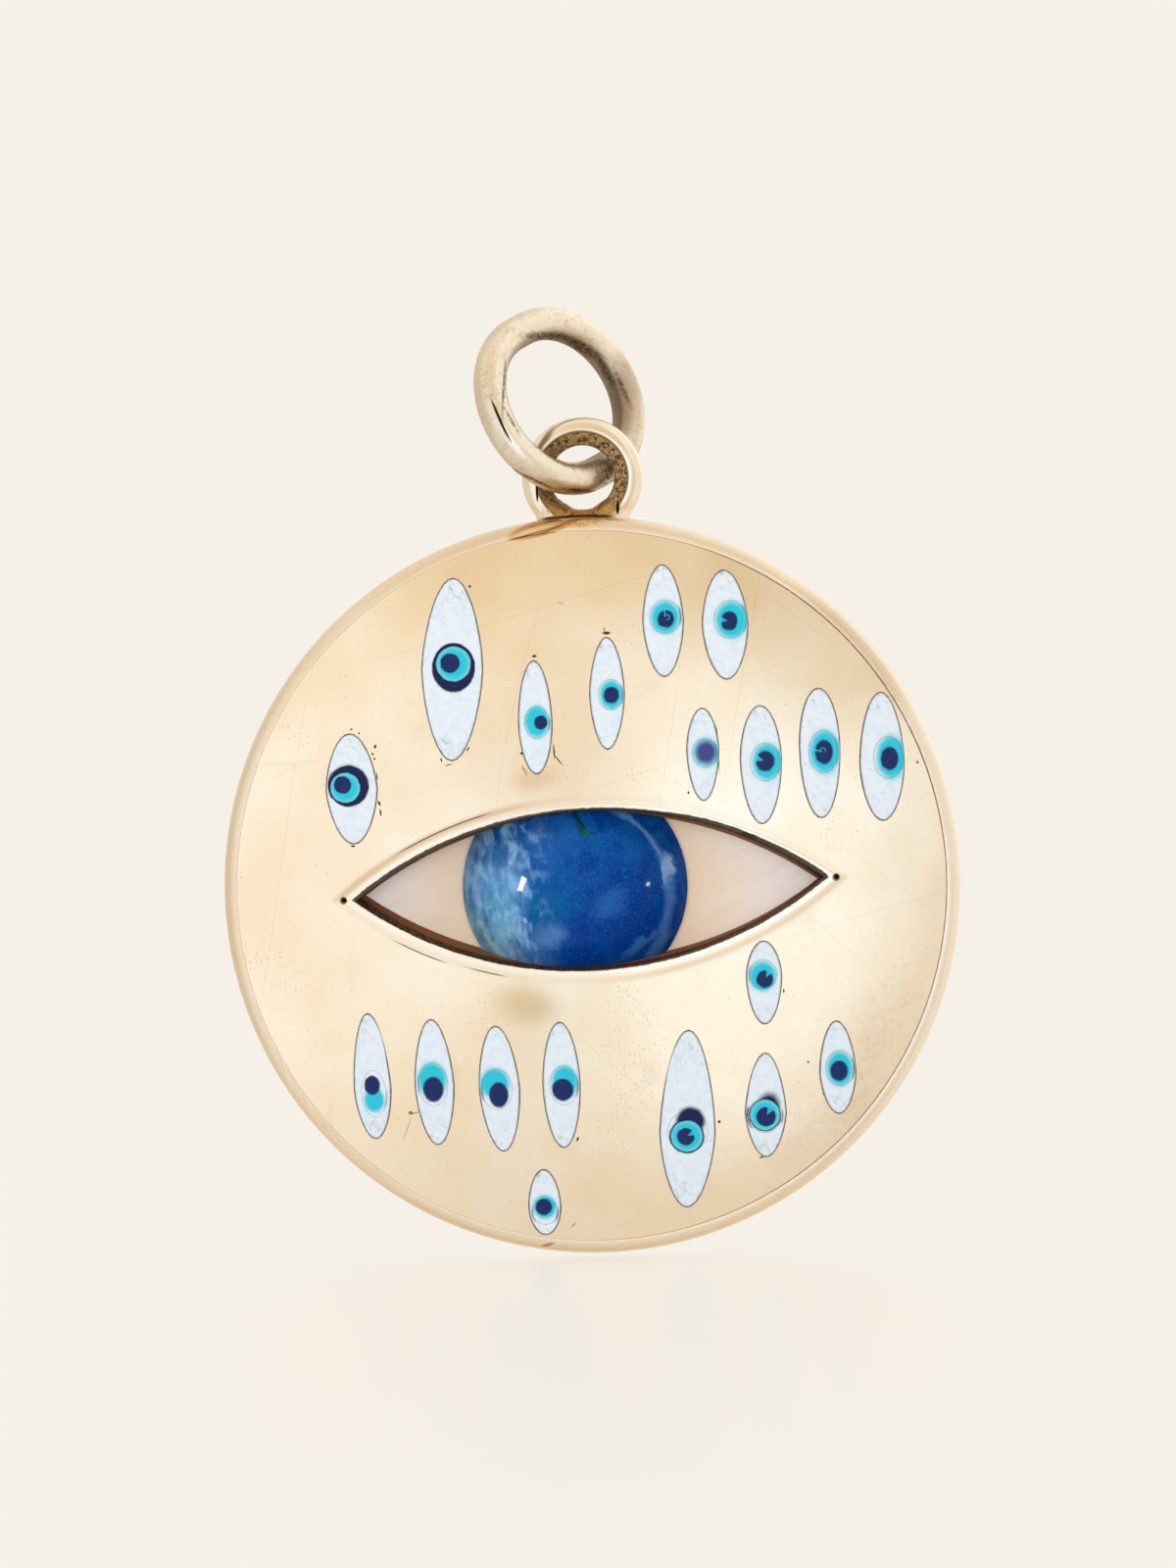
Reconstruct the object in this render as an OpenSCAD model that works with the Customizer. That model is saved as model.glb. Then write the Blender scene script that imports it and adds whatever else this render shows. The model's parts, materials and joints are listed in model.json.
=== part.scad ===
// Evil eye pendant: a hollow domed gold disc with a large set eye, nineteen small enamel eyes,
// a bail soldered to the rim and a jump ring through it.
// It is drawn lying face up: X to the right, Y towards the bail, Z towards the viewer.
// hang() then stands it up, face to -Y, with the origin where a chain passes through the jump ring.

/* [Disc] */
// Diameter over the rim
disc_d = 30; // [27:0.5:36]
// Thickness of the rim from front to back
rim_thickness = 2.6; // [2.2:0.1:4]
// Radius of the roll along both edges of the rim
rim_roll = 0.54; // [0.4:0.02:0.7]
// Height of the domed front above the rim
dome_rise = 2; // [1.6:0.1:3]
// Height of the domed back above the rim
back_rise = 0.5; // [0.3:0.1:1.2]
// Thickness of the front sheet
front_wall = 0.85; // [0.6:0.05:1.1]
// Thickness of the back sheet
back_wall = 0.55; // [0.4:0.05:0.9]
// Thickness of the rim strip
rim_wall = 0.8; // [0.6:0.05:1.2]
// Depth of the scribed line between dome and rim
crease_depth = 0.04; // [0.03:0.01:0.12]

/* [Eye window] */
// Length of the window from corner to corner
window_length = 19.16; // [17:0.1:21]
// Height of the window at its middle
window_height = 6.5; // [5:0.1:7]
// How far the window's middle lies to the right of the disc's middle
window_across = -0.02; // [-0.5:0.02:0.5]
// How far the window's middle lies above the disc's middle
window_up = -0.08; // [-0.5:0.02:0.5]
// Tilt of the window, right corner up
window_tilt = 1.4; // [-5:0.1:5]
// How much narrower the window gets towards the plate, on each side
window_taper = 0.25; // [0.1:0.05:0.4]
// How far the window's outline turns clockwise on its way down to the plate
window_twist = 1.3; // [0:0.1:2]
// Width of the small nick in the window's upper edge
nick_d = 0.9; // [0.6:0.05:1.2]
// How far the nick reaches into the lip
nick_bulge = 0.16; // [0.08:0.02:0.24]
// How far the nick lies to the right of the window's middle
nick_across = 6.55; // [5:0.05:7.5]
// How far the nick's floor lies below the dome's top
nick_floor = 1.2; // [0.9:0.05:1.8]
// Width of the raised lip around the window
lip_width = 0.3; // [0.2:0.02:0.5]
// Height of the raised lip above the dome
lip_height = 0.16; // [0.08:0.02:0.3]
// Diameter of the small drilled pit beyond each corner of the window
pit_d = 0.3; // [0.2:0.02:0.4]
// Depth of that pit
pit_depth = 0.3; // [0.15:0.05:0.4]
// Distance from the window's corner to the middle of the pit
pit_gap = 0.44; // [0.3:0.02:0.6]

/* [Plate and stone] */
// Thickness of the pale plate
plate_thickness = 0.8; // [0.5:0.05:1]
// How far the plate's front lies in front of the rim's middle
plate_level = 0.5; // [0.2:0.05:0.8]
// How far the plate reaches behind the window's edge
plate_flange = 0.6; // [0.4:0.05:0.9]
// Wall of the box around the plate
box_wall = 0.5; // [0.3:0.05:0.8]
// Diameter of the blue stone
stone_d = 9.16; // [8:0.1:10]
// How far the stone lies to the right of the window's middle
stone_shift = -0.66; // [-1.5:0.05:1.5]
// Height of the stone's straight girdle
stone_girdle = 0.2; // [0.1:0.05:0.4]
// How far the stone's top stands above the dome's top
stone_proud = 0.04; // [-0.1:0.02:0.15]
// Gap around the plate and the stone
setting_gap = 0.05; // [0.03:0.01:0.1]

/* [Enamel eyes] */
// Half length of a usual enamel cell
cell_length = 2.6; // [2.2:0.05:2.8]
// Half width of a usual enamel cell
cell_width = 0.84; // [0.7:0.02:0.92]
// Depth of each cell below the dome
cell_depth = 0.4; // [0.25:0.05:0.5]
// Radius of a usual coloured dot
iris_size = 0.6; // [0.5:0.02:0.64]
// Depth of each coloured dot
iris_depth = 0.2; // [0.1:0.02:0.22]
// Gap around and below each white field
enamel_gap = 0.02; // [0.015:0.005:0.04]
// Gap around and below each coloured dot
iris_gap = 0.012; // [0.01:0.002:0.03]

/* [Bail] */
// Diameter of the bail's wire
bail_wire = 1.16; // [0.9:0.02:1.4]
// Room that the jump ring's slanting wire has in the bail
bail_room = 0.15; // [0.13:0.01:0.4]
// How deep the wire's middle lies in the rim at the bail's lowest point
bail_sink = 0.28; // [0.1:0.02:0.5]
// How far inside the wire's middle the bail's inner bevel starts
bevel_start = 0.06; // [0:0.01:0.15]
// Width of the land left between the two bevels
bevel_land = 0.44; // [0.3:0.02:0.7]
// Height above the rim at which the soldered foot starts to widen
foot_rise = 0.5; // [0.3:0.05:0.7]
// Length of the soldered foot, down into the rim
foot_length = 0.9; // [0.7:0.05:1]
// How much the soldered foot is wider than the wire at its lower end, all round
foot_flare = 0.3; // [0.1:0.02:0.4]

/* [Jump ring] */
// Diameter of the jump ring's wire
ring_wire = 1.34; // [1.1:0.02:1.6]
// Diameter of the ring's two half turns, at the middle of the wire
ring_d = 6.56; // [5.8:0.04:8]
// Length of the short straights between the half turns
ring_straight = 0.6; // [0.3:0.05:1]
// Turn of the ring's tilt axis from the right-hand side
ring_turn = 118.4; // [105:0.2:130]
// Tilt of the ring out of the disc's plane
ring_tilt = 46; // [45:0.5:60]
// Turn round the ring from its lower end to where it passes through the bail
hold_turn = 11; // [5:0.5:13]
// How far to the right of the bail's middle the ring passes through it
hold_across = 0.09; // [0.04:0.01:0.12]

/* [Hidden] */
// One row for each small eye, hand placed. across and up are shares of the disc's radius, and
// lean is in degrees. length and width are shares of cell_length and cell_width, and belly is
// where along the cell it is widest. A dot's place is a share of the room beside it in its cell,
// and its half width and half height are shares of iris_size.
COLUMNS = [
    "across", "up", "lean", "length", "width", "belly", "fullness",
    "dot_across", "dot_up", "dot_width", "dot_height"
];
EYES = [
    [-0.359, 0.597, -1.3, 1.43, 1.52, 0, 1.5, 0.11, 0.02, 1.47, 1.67],
    [0.215, 0.715, 0.5, 0.88, 1.01, 0, 1.6, 0.4, 0.1, 1.06, 1.15],
    [0.382, 0.7, 1, 0.86, 1.13, 0, 1.6, 0.76, 0.14, 1.12, 1.28],
    [-0.136, 0.463, 0.6, 0.89, 0.84, -0.1, 1.8, 0.33, -0.13, 0.84, 1.1],
    [0.06, 0.523, -0.4, 0.88, 0.87, 0, 1.6, 0.59, -0.03, 0.84, 1.03],
    [-0.64, 0.28, 1.4, 0.87, 1.29, 0, 1.5, -0.45, 0.11, 1.4, 1.47],
    [0.315, 0.352, -0.1, 0.73, 0.8, 0.1, 1.7, 0.54, 0.04, 0.86, 0.98],
    [0.471, 0.32, 0, 0.93, 1.02, 0.1, 1.8, 0.69, 0.06, 1.02, 1.28],
    [0.63, 0.347, 0.3, 1.02, 1, 0.1, 2, 0.6, 0.03, 1, 1.42],
    [0.797, 0.333, 0, 1.01, 1.1, -0.1, 1.7, 0.78, -0.03, 1, 1.42],
    [0.465, -0.269, -0.5, 0.66, 0.88, 0.15, 1.7, -0.18, 0.3, 0.92, 1],
    [-0.607, -0.501, 2.1, 1, 0.93, -0.2, 1.6, 0.13, -0.44, 0.86, 1.6],
    [-0.436, -0.52, 1.6, 1, 0.98, -0.05, 1.6, -0.23, -0.05, 1, 1.5],
    [-0.259, -0.541, 2.3, 1, 1.01, 0, 1.6, -0.46, -0.01, 1.05, 1.4],
    [-0.09, -0.534, 0.3, 1, 0.93, 0, 1.8, 0.41, -0.01, 0.96, 1.36],
    [0.248, -0.635, -2.3, 1.41, 1.37, -0.15, 1.5, 0.05, -0.18, 1.36, 1.42],
    [0.46, -0.603, -1.2, 0.83, 1.02, -0.15, 1.4, -0.31, -0.29, 1.2, 1.22],
    [0.657, -0.506, 0.3, 0.74, 0.9, -0.1, 1.6, 0.5, -0.04, 0.98, 1.2],
    [-0.147, -0.855, 0.2, 0.53, 0.81, -0.15, 1.8, 0, -0.47, 0.86, 0.9],
];

// The value in an eye's row under a column's name
function at(eye, column) = eye[search([column], COLUMNS)[0]];

EYE_NUMBERS = [for (i = [0:len(EYES) - 1]) str(i < 9 ? "0" : "", i + 1)];
WHITE_NODES = [for (n = EYE_NUMBERS) str("enamel_white_", n)];
IRIS_NODES = [for (n = EYE_NUMBERS) str("enamel_iris_", n)];

$fn = 96;
// The two domed faces are parts of very large circles
large_fn = 1440;
cell_points = 16;
dot_points = 24;
// Cuts run this far past a face
over = 0.5;
// The narrow end of each soldered foot lies this far inside the wire
foot_sink = 0.03;

disc_r = disc_d / 2;
// The dome meets the rim's roll on this circle
crease_r = disc_r - rim_roll;
// The domed sheets run on this far into the roll
lens_r = crease_r + rim_roll / 4;
front_level = rim_thickness / 2;
back_level = -rim_thickness / 2;
dome_r = (crease_r * crease_r + dome_rise * dome_rise) / (2 * dome_rise);
dome_middle = front_level + dome_rise - dome_r;
back_r = (crease_r * crease_r + back_rise * back_rise) / (2 * back_rise);
back_middle = back_level - back_rise + back_r;
dome_top = front_level + dome_rise;

// The window is the space shared by two large circles, one above and one below it
half_window = window_length / 2;
arc_r = (half_window * half_window + window_height * window_height / 4) / window_height;
arc_shift = arc_r - window_height / 2;
opening_depth = dome_top - plate_level;
plate_back = plate_level - plate_thickness;
ledge = plate_flange + setting_gap;

stone_r = stone_d / 2;
stone_base = plate_level + setting_gap / 2;
stone_top = dome_top + stone_proud;
crown_height = stone_top - stone_base - stone_girdle;
crown_r = (stone_r * stone_r + crown_height * crown_height) / (2 * crown_height);

// A ring's wire that passes through at a slant needs a wider bail
bail_r = (bail_wire + ring_wire) / (2 * sin(ring_tilt)) + bail_room;
bail_y = disc_r - bail_sink + bail_r;

// Where a place in the ring's own plane, along its tilt axis and over it, lies from its middle
function in_ring(along, over) = [
    along * cos(ring_turn) - over * sin(ring_turn) * cos(ring_tilt),
    along * sin(ring_turn) + over * cos(ring_turn) * cos(ring_tilt),
    over * sin(ring_tilt)
];

ring_r = ring_d / 2;
hold_along = -ring_r * cos(hold_turn);
hold_over = ring_straight / 2 + ring_r * sin(hold_turn);
ring_middle = [hold_across, bail_y, 0] - in_ring(hold_along, hold_over);
// Turn round the ring, from its tilt axis, to its highest point
seat_turn = atan2(cos(ring_turn) * cos(ring_tilt), sin(ring_turn));
seat_along = ring_r * cos(seat_turn);
seat_over = ring_r * sin(seat_turn) - ring_straight / 2;
seat = ring_middle + in_ring(seat_along, seat_over) - [0, ring_wire / 2, 0];

// Stands the pendant up and puts the origin on the inside of the jump ring, at its top
module hang() {
    rotate([90, 0, 0]) translate(-seat) children();
}

// Turns and moves what is drawn round the window's middle to its place in the disc
module at_window() {
    translate([window_across, window_up, 0]) rotate([0, 0, window_tilt]) children();
}

// Moves what is drawn round the stone's middle to its place in the window
module at_stone() {
    at_window() translate([stone_shift, -window_up, 0]) children();
}

// An upright prism with the window's outline, grown by grow at the bottom and at the top
module window_prism(bottom, top, grow_bottom, grow_top) {
    intersection() {
        translate([0, arc_shift, bottom])
            cylinder(h = top - bottom, r1 = arc_r + grow_bottom, r2 = arc_r + grow_top);
        translate([0, -arc_shift, bottom])
            cylinder(h = top - bottom, r1 = arc_r + grow_bottom, r2 = arc_r + grow_top);
    }
}

// The disc's lens shape: the space within both domed faces, each moved in by an inset
module lens(front_inset, back_inset, radius) {
    rotate_extrude()
        intersection() {
            translate([0, dome_middle]) circle(r = dome_r - front_inset, $fn = large_fn);
            translate([0, back_middle]) circle(r = back_r - back_inset, $fn = large_fn);
            translate([0, -disc_r]) square([radius, disc_d]);
        }
}

// Section of the rim strip with its two rolled edges, right of the disc's axis
module rim_section() {
    strip_in = disc_r - rim_wall - rim_roll;
    translate([strip_in, back_level]) square([crease_r - strip_in, rim_thickness]);
    translate([strip_in, back_level + rim_roll])
        square([disc_r - strip_in, rim_thickness - 2 * rim_roll]);
    for (side = [-1, 1])
        translate([crease_r, side * (front_level - rim_roll)]) circle(r = rim_roll);
}

// The thin line scribed where the dome meets the rim
module crease_cut() {
    rotate_extrude()
        translate([crease_r, front_level])
            polygon([
                [0, -crease_depth],
                [crease_depth, crease_depth],
                [-crease_depth, 2 * crease_depth]
            ]);
}

// Section of the bail's wire: round, with its inner side bevelled towards both faces
module bail_section() {
    wire_r = bail_wire / 2;
    intersection() {
        circle(r = wire_r);
        polygon([
            [wire_r, wire_r],
            [-bevel_start, wire_r],
            [-wire_r, bevel_land / 2],
            [-wire_r, -bevel_land / 2],
            [-bevel_start, -wire_r],
            [wire_r, -wire_r]
        ]);
    }
}

// A ring of wire with a flared, soldered foot on each side
module bail() {
    foot_turn = acos((bail_r - bail_sink - foot_rise) / bail_r);
    translate([0, bail_y, 0]) {
        rotate_extrude() translate([bail_r, 0]) bail_section();
        for (side = [-1, 1])
            rotate([0, 0, side * foot_turn])
                translate([0, -bail_r, 0])
                    rotate([0, side * 90, 0])
                        translate([0, 0, -foot_length])
                            cylinder(
                                h = foot_length,
                                r1 = bail_wire / 2 + foot_flare,
                                r2 = bail_wire / 2 - foot_sink
                            );
    }
}

// The outside of the gold body, solid
module body_outside() {
    lens(0, 0, lens_r);
    rotate_extrude() rim_section();
    bail();
    intersection() {
        lens(-lip_height, 0, lens_r);
        at_window()
            window_prism(plate_level, dome_top + over, lip_width + over / 2, lip_width - over / 4);
    }
}

// The eye-shaped box inside the body, from the front sheet to the back sheet, with the round
// collar that holds the stone where it is wider than the box
module eye_box() {
    intersection() {
        lens(front_wall / 2, back_wall / 2, crease_r);
        union() {
            at_window()
                window_prism(-disc_r, disc_r, ledge + box_wall, ledge + box_wall);
            at_stone()
                translate([0, 0, stone_base - box_wall])
                    cylinder(h = disc_r, r = stone_r + setting_gap + box_wall);
        }
    }
}

// One of the two slanting cones that the opening lies within, above or below its middle
module opening_cone(side) {
    lean = atan(arc_shift * sin(window_twist) / opening_depth);
    translate([0, side * arc_shift, dome_top])
        rotate([0, -side * lean, 0])
            translate([0, 0, -2 * opening_depth])
                cylinder(
                    h = 3 * opening_depth,
                    r1 = arc_r - 2 * window_taper,
                    r2 = arc_r + window_taper
                );
}

// The opening in front of the plate, whose outline turns and shrinks on its way down
module opening() {
    intersection() {
        translate([0, 0, plate_level - over / 2])
            cylinder(h = opening_depth + over, r = half_window + over);
        opening_cone(1);
        opening_cone(-1);
    }
}

// A small round nick in the upper edge of the window
module nick() {
    nick_turn = asin(nick_across / arc_r);
    translate([0, -arc_shift, dome_top - nick_floor])
        rotate([0, 0, -nick_turn])
            translate([0, arc_r + nick_bulge - nick_d / 2, 0])
                cylinder(h = nick_floor + over, d = nick_d);
}

// What is cut out of the body for the plate, the stone and the view on them
module eye_cuts() {
    at_window() {
        opening();
        nick();
        window_prism(plate_back - setting_gap, plate_level + setting_gap, ledge, ledge);
        window_prism(back_level + back_wall / 2, plate_back, -ledge, -ledge);
        for (side = [-1, 1])
            translate([side * (half_window + pit_gap), 0, 0]) corner_pit();
    }
    stone_space(setting_gap);
}

// A small blind pit beyond the window's corner
module corner_pit() {
    corner_top = dome_middle + sqrt(dome_r * dome_r - half_window * half_window);
    translate([0, 0, corner_top - pit_depth]) cylinder(h = pit_depth + over, d = pit_d);
}

// The stone's outline, grown by grow: a short girdle under a domed crown
module stone_space(grow) {
    at_stone() {
        translate([0, 0, stone_base - grow / 2])
            cylinder(h = stone_girdle + grow / 2, r = stone_r + grow);
        intersection() {
            translate([0, 0, stone_top - crown_r]) sphere(r = crown_r + grow);
            translate([0, 0, stone_base + stone_girdle])
                cylinder(h = crown_height + over, r = stone_r + grow);
        }
    }
}

// Half width of a cell as a share of its full half width, at place s from -1 to 1 along it
function cell_half(s, fullness) = pow(1 - pow(abs(s), fullness), 0.5);

// Place along a cell whose widest point lies at belly
function along(s, belly) = belly + s * (s < 0 ? 1 + belly : 1 - belly);

// Outline of a cell, drawn in from its edge by inset
module cell_outline(eye, inset) {
    half_length = cell_length * at(eye, "length") - inset;
    half_width = cell_width * at(eye, "width") - inset;
    belly = at(eye, "belly");
    fullness = at(eye, "fullness");
    turns = [for (i = [0:cell_points]) 90 - 180 * i / cell_points];
    right = [
        for (t = turns)
            [half_width * cell_half(sin(t), fullness), half_length * along(sin(t), belly)]
    ];
    left = [for (i = [cell_points - 1:-1:1]) [-right[i][0], right[i][1]]];
    polygon(concat(right, left));
}

// Outline of a coloured dot, drawn in from its edge by inset
module dot_outline(eye, inset) {
    dot_width = iris_size * at(eye, "dot_width");
    dot_height = iris_size * at(eye, "dot_height");
    room_across = cell_width * at(eye, "width") - dot_width;
    room_up = cell_length * at(eye, "length") - dot_height;
    turns = [for (i = [0:dot_points - 1]) 360 * i / dot_points];
    translate([room_across * at(eye, "dot_across"), room_up * at(eye, "dot_up")])
        polygon([
            for (t = turns) [(dot_width - inset) * cos(t), (dot_height - inset) * sin(t)]
        ]);
}

// Puts an eye's outline in its place and makes it a prism through the dome
module eye_prism(eye) {
    translate([disc_r * at(eye, "across"), disc_r * at(eye, "up"), 0])
        rotate([0, 0, at(eye, "lean")])
            linear_extrude(height = dome_top + over) children();
}

// The part of a prism between the dome and a deeper sphere
module under_dome(depth, proud) {
    difference() {
        intersection() {
            children();
            translate([0, 0, dome_middle]) sphere(r = dome_r + proud);
        }
        translate([0, 0, dome_middle]) sphere(r = dome_r - depth);
    }
}

// Gold body
module case() {
    color("#e6c99a") hang() difference() {
        union() {
            difference() {
                body_outside();
                lens(front_wall, back_wall, disc_r - rim_wall);
            }
            eye_box();
        }
        eye_cuts();
        crease_cut();
        for (eye = EYES)
            under_dome(cell_depth, over) eye_prism(eye) cell_outline(eye, 0);
    }
}

// Pale plate behind the window
module eye_white() {
    color("#e8ddcb") hang() at_window()
        window_prism(plate_back, plate_level, plate_flange, plate_flange);
}

// Domed blue stone on the plate
module iris_stone() {
    color("#0a468f") hang() stone_space(0);
}

// White field of one small eye, with a pocket for its dot
module enamel_white(eye) {
    color("#e6ecec") hang() difference() {
        under_dome(cell_depth - enamel_gap, 0) eye_prism(eye) cell_outline(eye, enamel_gap);
        under_dome(iris_depth, over) eye_prism(eye) dot_outline(eye, 0);
    }
}

// Coloured dot of one small eye
module enamel_iris(eye) {
    color("#3fc4e0") hang()
        under_dome(iris_depth - iris_gap, 0) eye_prism(eye) dot_outline(eye, iris_gap);
}

// Oval ring of round wire: two half turns and two short straights
module jump_ring() {
    color("#cdb48d") hang()
        translate(ring_middle) rotate([ring_tilt, 0, ring_turn]) {
            for (side = [-1, 1]) {
                translate([0, side * ring_straight / 2, 0])
                    rotate([0, 0, side > 0 ? 0 : 180])
                        rotate_extrude(angle = 180)
                            translate([ring_r, 0]) circle(d = ring_wire);
                translate([side * ring_r, -ring_straight / 2, 0])
                    rotate([-90, 0, 0])
                        cylinder(h = ring_straight, d = ring_wire);
            }
        }
}

case();
eye_white();
iris_stone();
jump_ring();
for (i = [0:len(EYES) - 1]) {
    enamel_white(EYES[i]);
    enamel_iris(EYES[i]);
}
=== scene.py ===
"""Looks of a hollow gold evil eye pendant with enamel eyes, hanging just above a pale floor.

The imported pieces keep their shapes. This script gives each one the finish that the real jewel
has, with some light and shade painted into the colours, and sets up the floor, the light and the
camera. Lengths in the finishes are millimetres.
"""

import json
import logging
import math
from dataclasses import dataclass, field
from enum import Enum
from functools import partial

import bmesh
import bpy
from mathutils import Euler, Matrix, Quaternion, Vector

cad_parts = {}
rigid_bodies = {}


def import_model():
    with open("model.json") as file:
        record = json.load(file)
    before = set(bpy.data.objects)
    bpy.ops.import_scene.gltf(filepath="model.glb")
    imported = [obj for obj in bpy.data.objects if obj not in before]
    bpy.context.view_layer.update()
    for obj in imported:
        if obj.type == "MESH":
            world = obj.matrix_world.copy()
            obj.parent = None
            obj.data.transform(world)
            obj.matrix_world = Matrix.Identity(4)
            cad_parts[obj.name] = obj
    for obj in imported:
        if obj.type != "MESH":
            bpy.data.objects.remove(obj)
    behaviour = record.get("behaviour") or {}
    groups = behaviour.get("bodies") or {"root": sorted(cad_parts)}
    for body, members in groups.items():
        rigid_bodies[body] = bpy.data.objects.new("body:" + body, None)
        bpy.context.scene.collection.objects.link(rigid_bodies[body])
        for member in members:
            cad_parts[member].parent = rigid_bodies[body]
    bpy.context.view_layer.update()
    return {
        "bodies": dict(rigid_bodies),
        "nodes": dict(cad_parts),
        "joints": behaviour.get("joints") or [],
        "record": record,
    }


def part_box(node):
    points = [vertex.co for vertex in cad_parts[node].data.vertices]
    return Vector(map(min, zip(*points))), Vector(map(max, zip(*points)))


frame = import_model()

LOG = logging.getLogger("pendant")
MM = 0.001
# A pattern spread over this many millimetres doesn't change through the sheet
THROUGH = 1e4
# A face is a wall, not the front, where its normal points this little forward
STEEP = (0.8, 0.62)
SMOOTH = {"interpolation_type": "SMOOTHSTEP"}

Feed = float | tuple | Vector | bpy.types.Node | bpy.types.NodeSocket


def linear(code: str, strength: float = 1.0) -> tuple[float, float, float, float]:
    """Turn an sRGB hex colour into linear light.

    Args:
        code: The colour as "#rrggbb".
        strength: What the three channels are multiplied by.
    Returns:
        Red, green and blue in linear light, and an alpha of 1.
    """
    shares = [int(code[i : i + 2], 16) / 255 for i in (1, 3, 5)]
    light = [s / 12.92 if s <= 0.04045 else ((s + 0.055) / 1.055) ** 2.4 for s in shares]
    return (*[channel * strength for channel in light], 1.0)


def add_node(
    tree: bpy.types.NodeTree,
    kind: str,
    *feeds: Feed | None,
    inputs: dict[str, Feed] | None = None,
    **settings: object,
) -> bpy.types.Node:
    """Add one node with its settings, and set or link its inputs.

    Args:
        tree: The node tree that gets the node.
        kind: The node's type, without its ShaderNode prefix.
        feeds: Values, nodes or sockets for the first inputs in their order; None leaves one as it is.
        inputs: The same for inputs given by name.
        settings: The node's own properties.
    Returns:
        The new node.
    """
    node = tree.nodes.new("ShaderNode" + kind)
    for name, value in settings.items():
        setattr(node, name, value)
    live = [socket for socket in node.inputs if socket.enabled]
    pairs = [(live[i], feed) for i, feed in enumerate(feeds) if feed is not None]
    pairs += [(next(s for s in live if s.name == name), feed) for name, feed in (inputs or {}).items()]
    for socket, feed in pairs:
        if isinstance(feed, bpy.types.Node):
            tree.links.new(next(out for out in feed.outputs if out.enabled), socket)
        elif isinstance(feed, bpy.types.NodeSocket):
            tree.links.new(feed, socket)
        else:
            socket.default_value = feed
    return node


@dataclass(frozen=True)
class Mark:
    """One pit, stain, streak, cloud, painted highlight or painted shade: an ellipse with its places and
    half sizes in millimetres.
    """

    middle: tuple[float, float]
    half: tuple[float, float]
    lean: float = 0.0
    colour: str = "#3A281B"
    strength: float = 1.0
    soft: float = 0.35
    roughness: float | None = None


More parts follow.
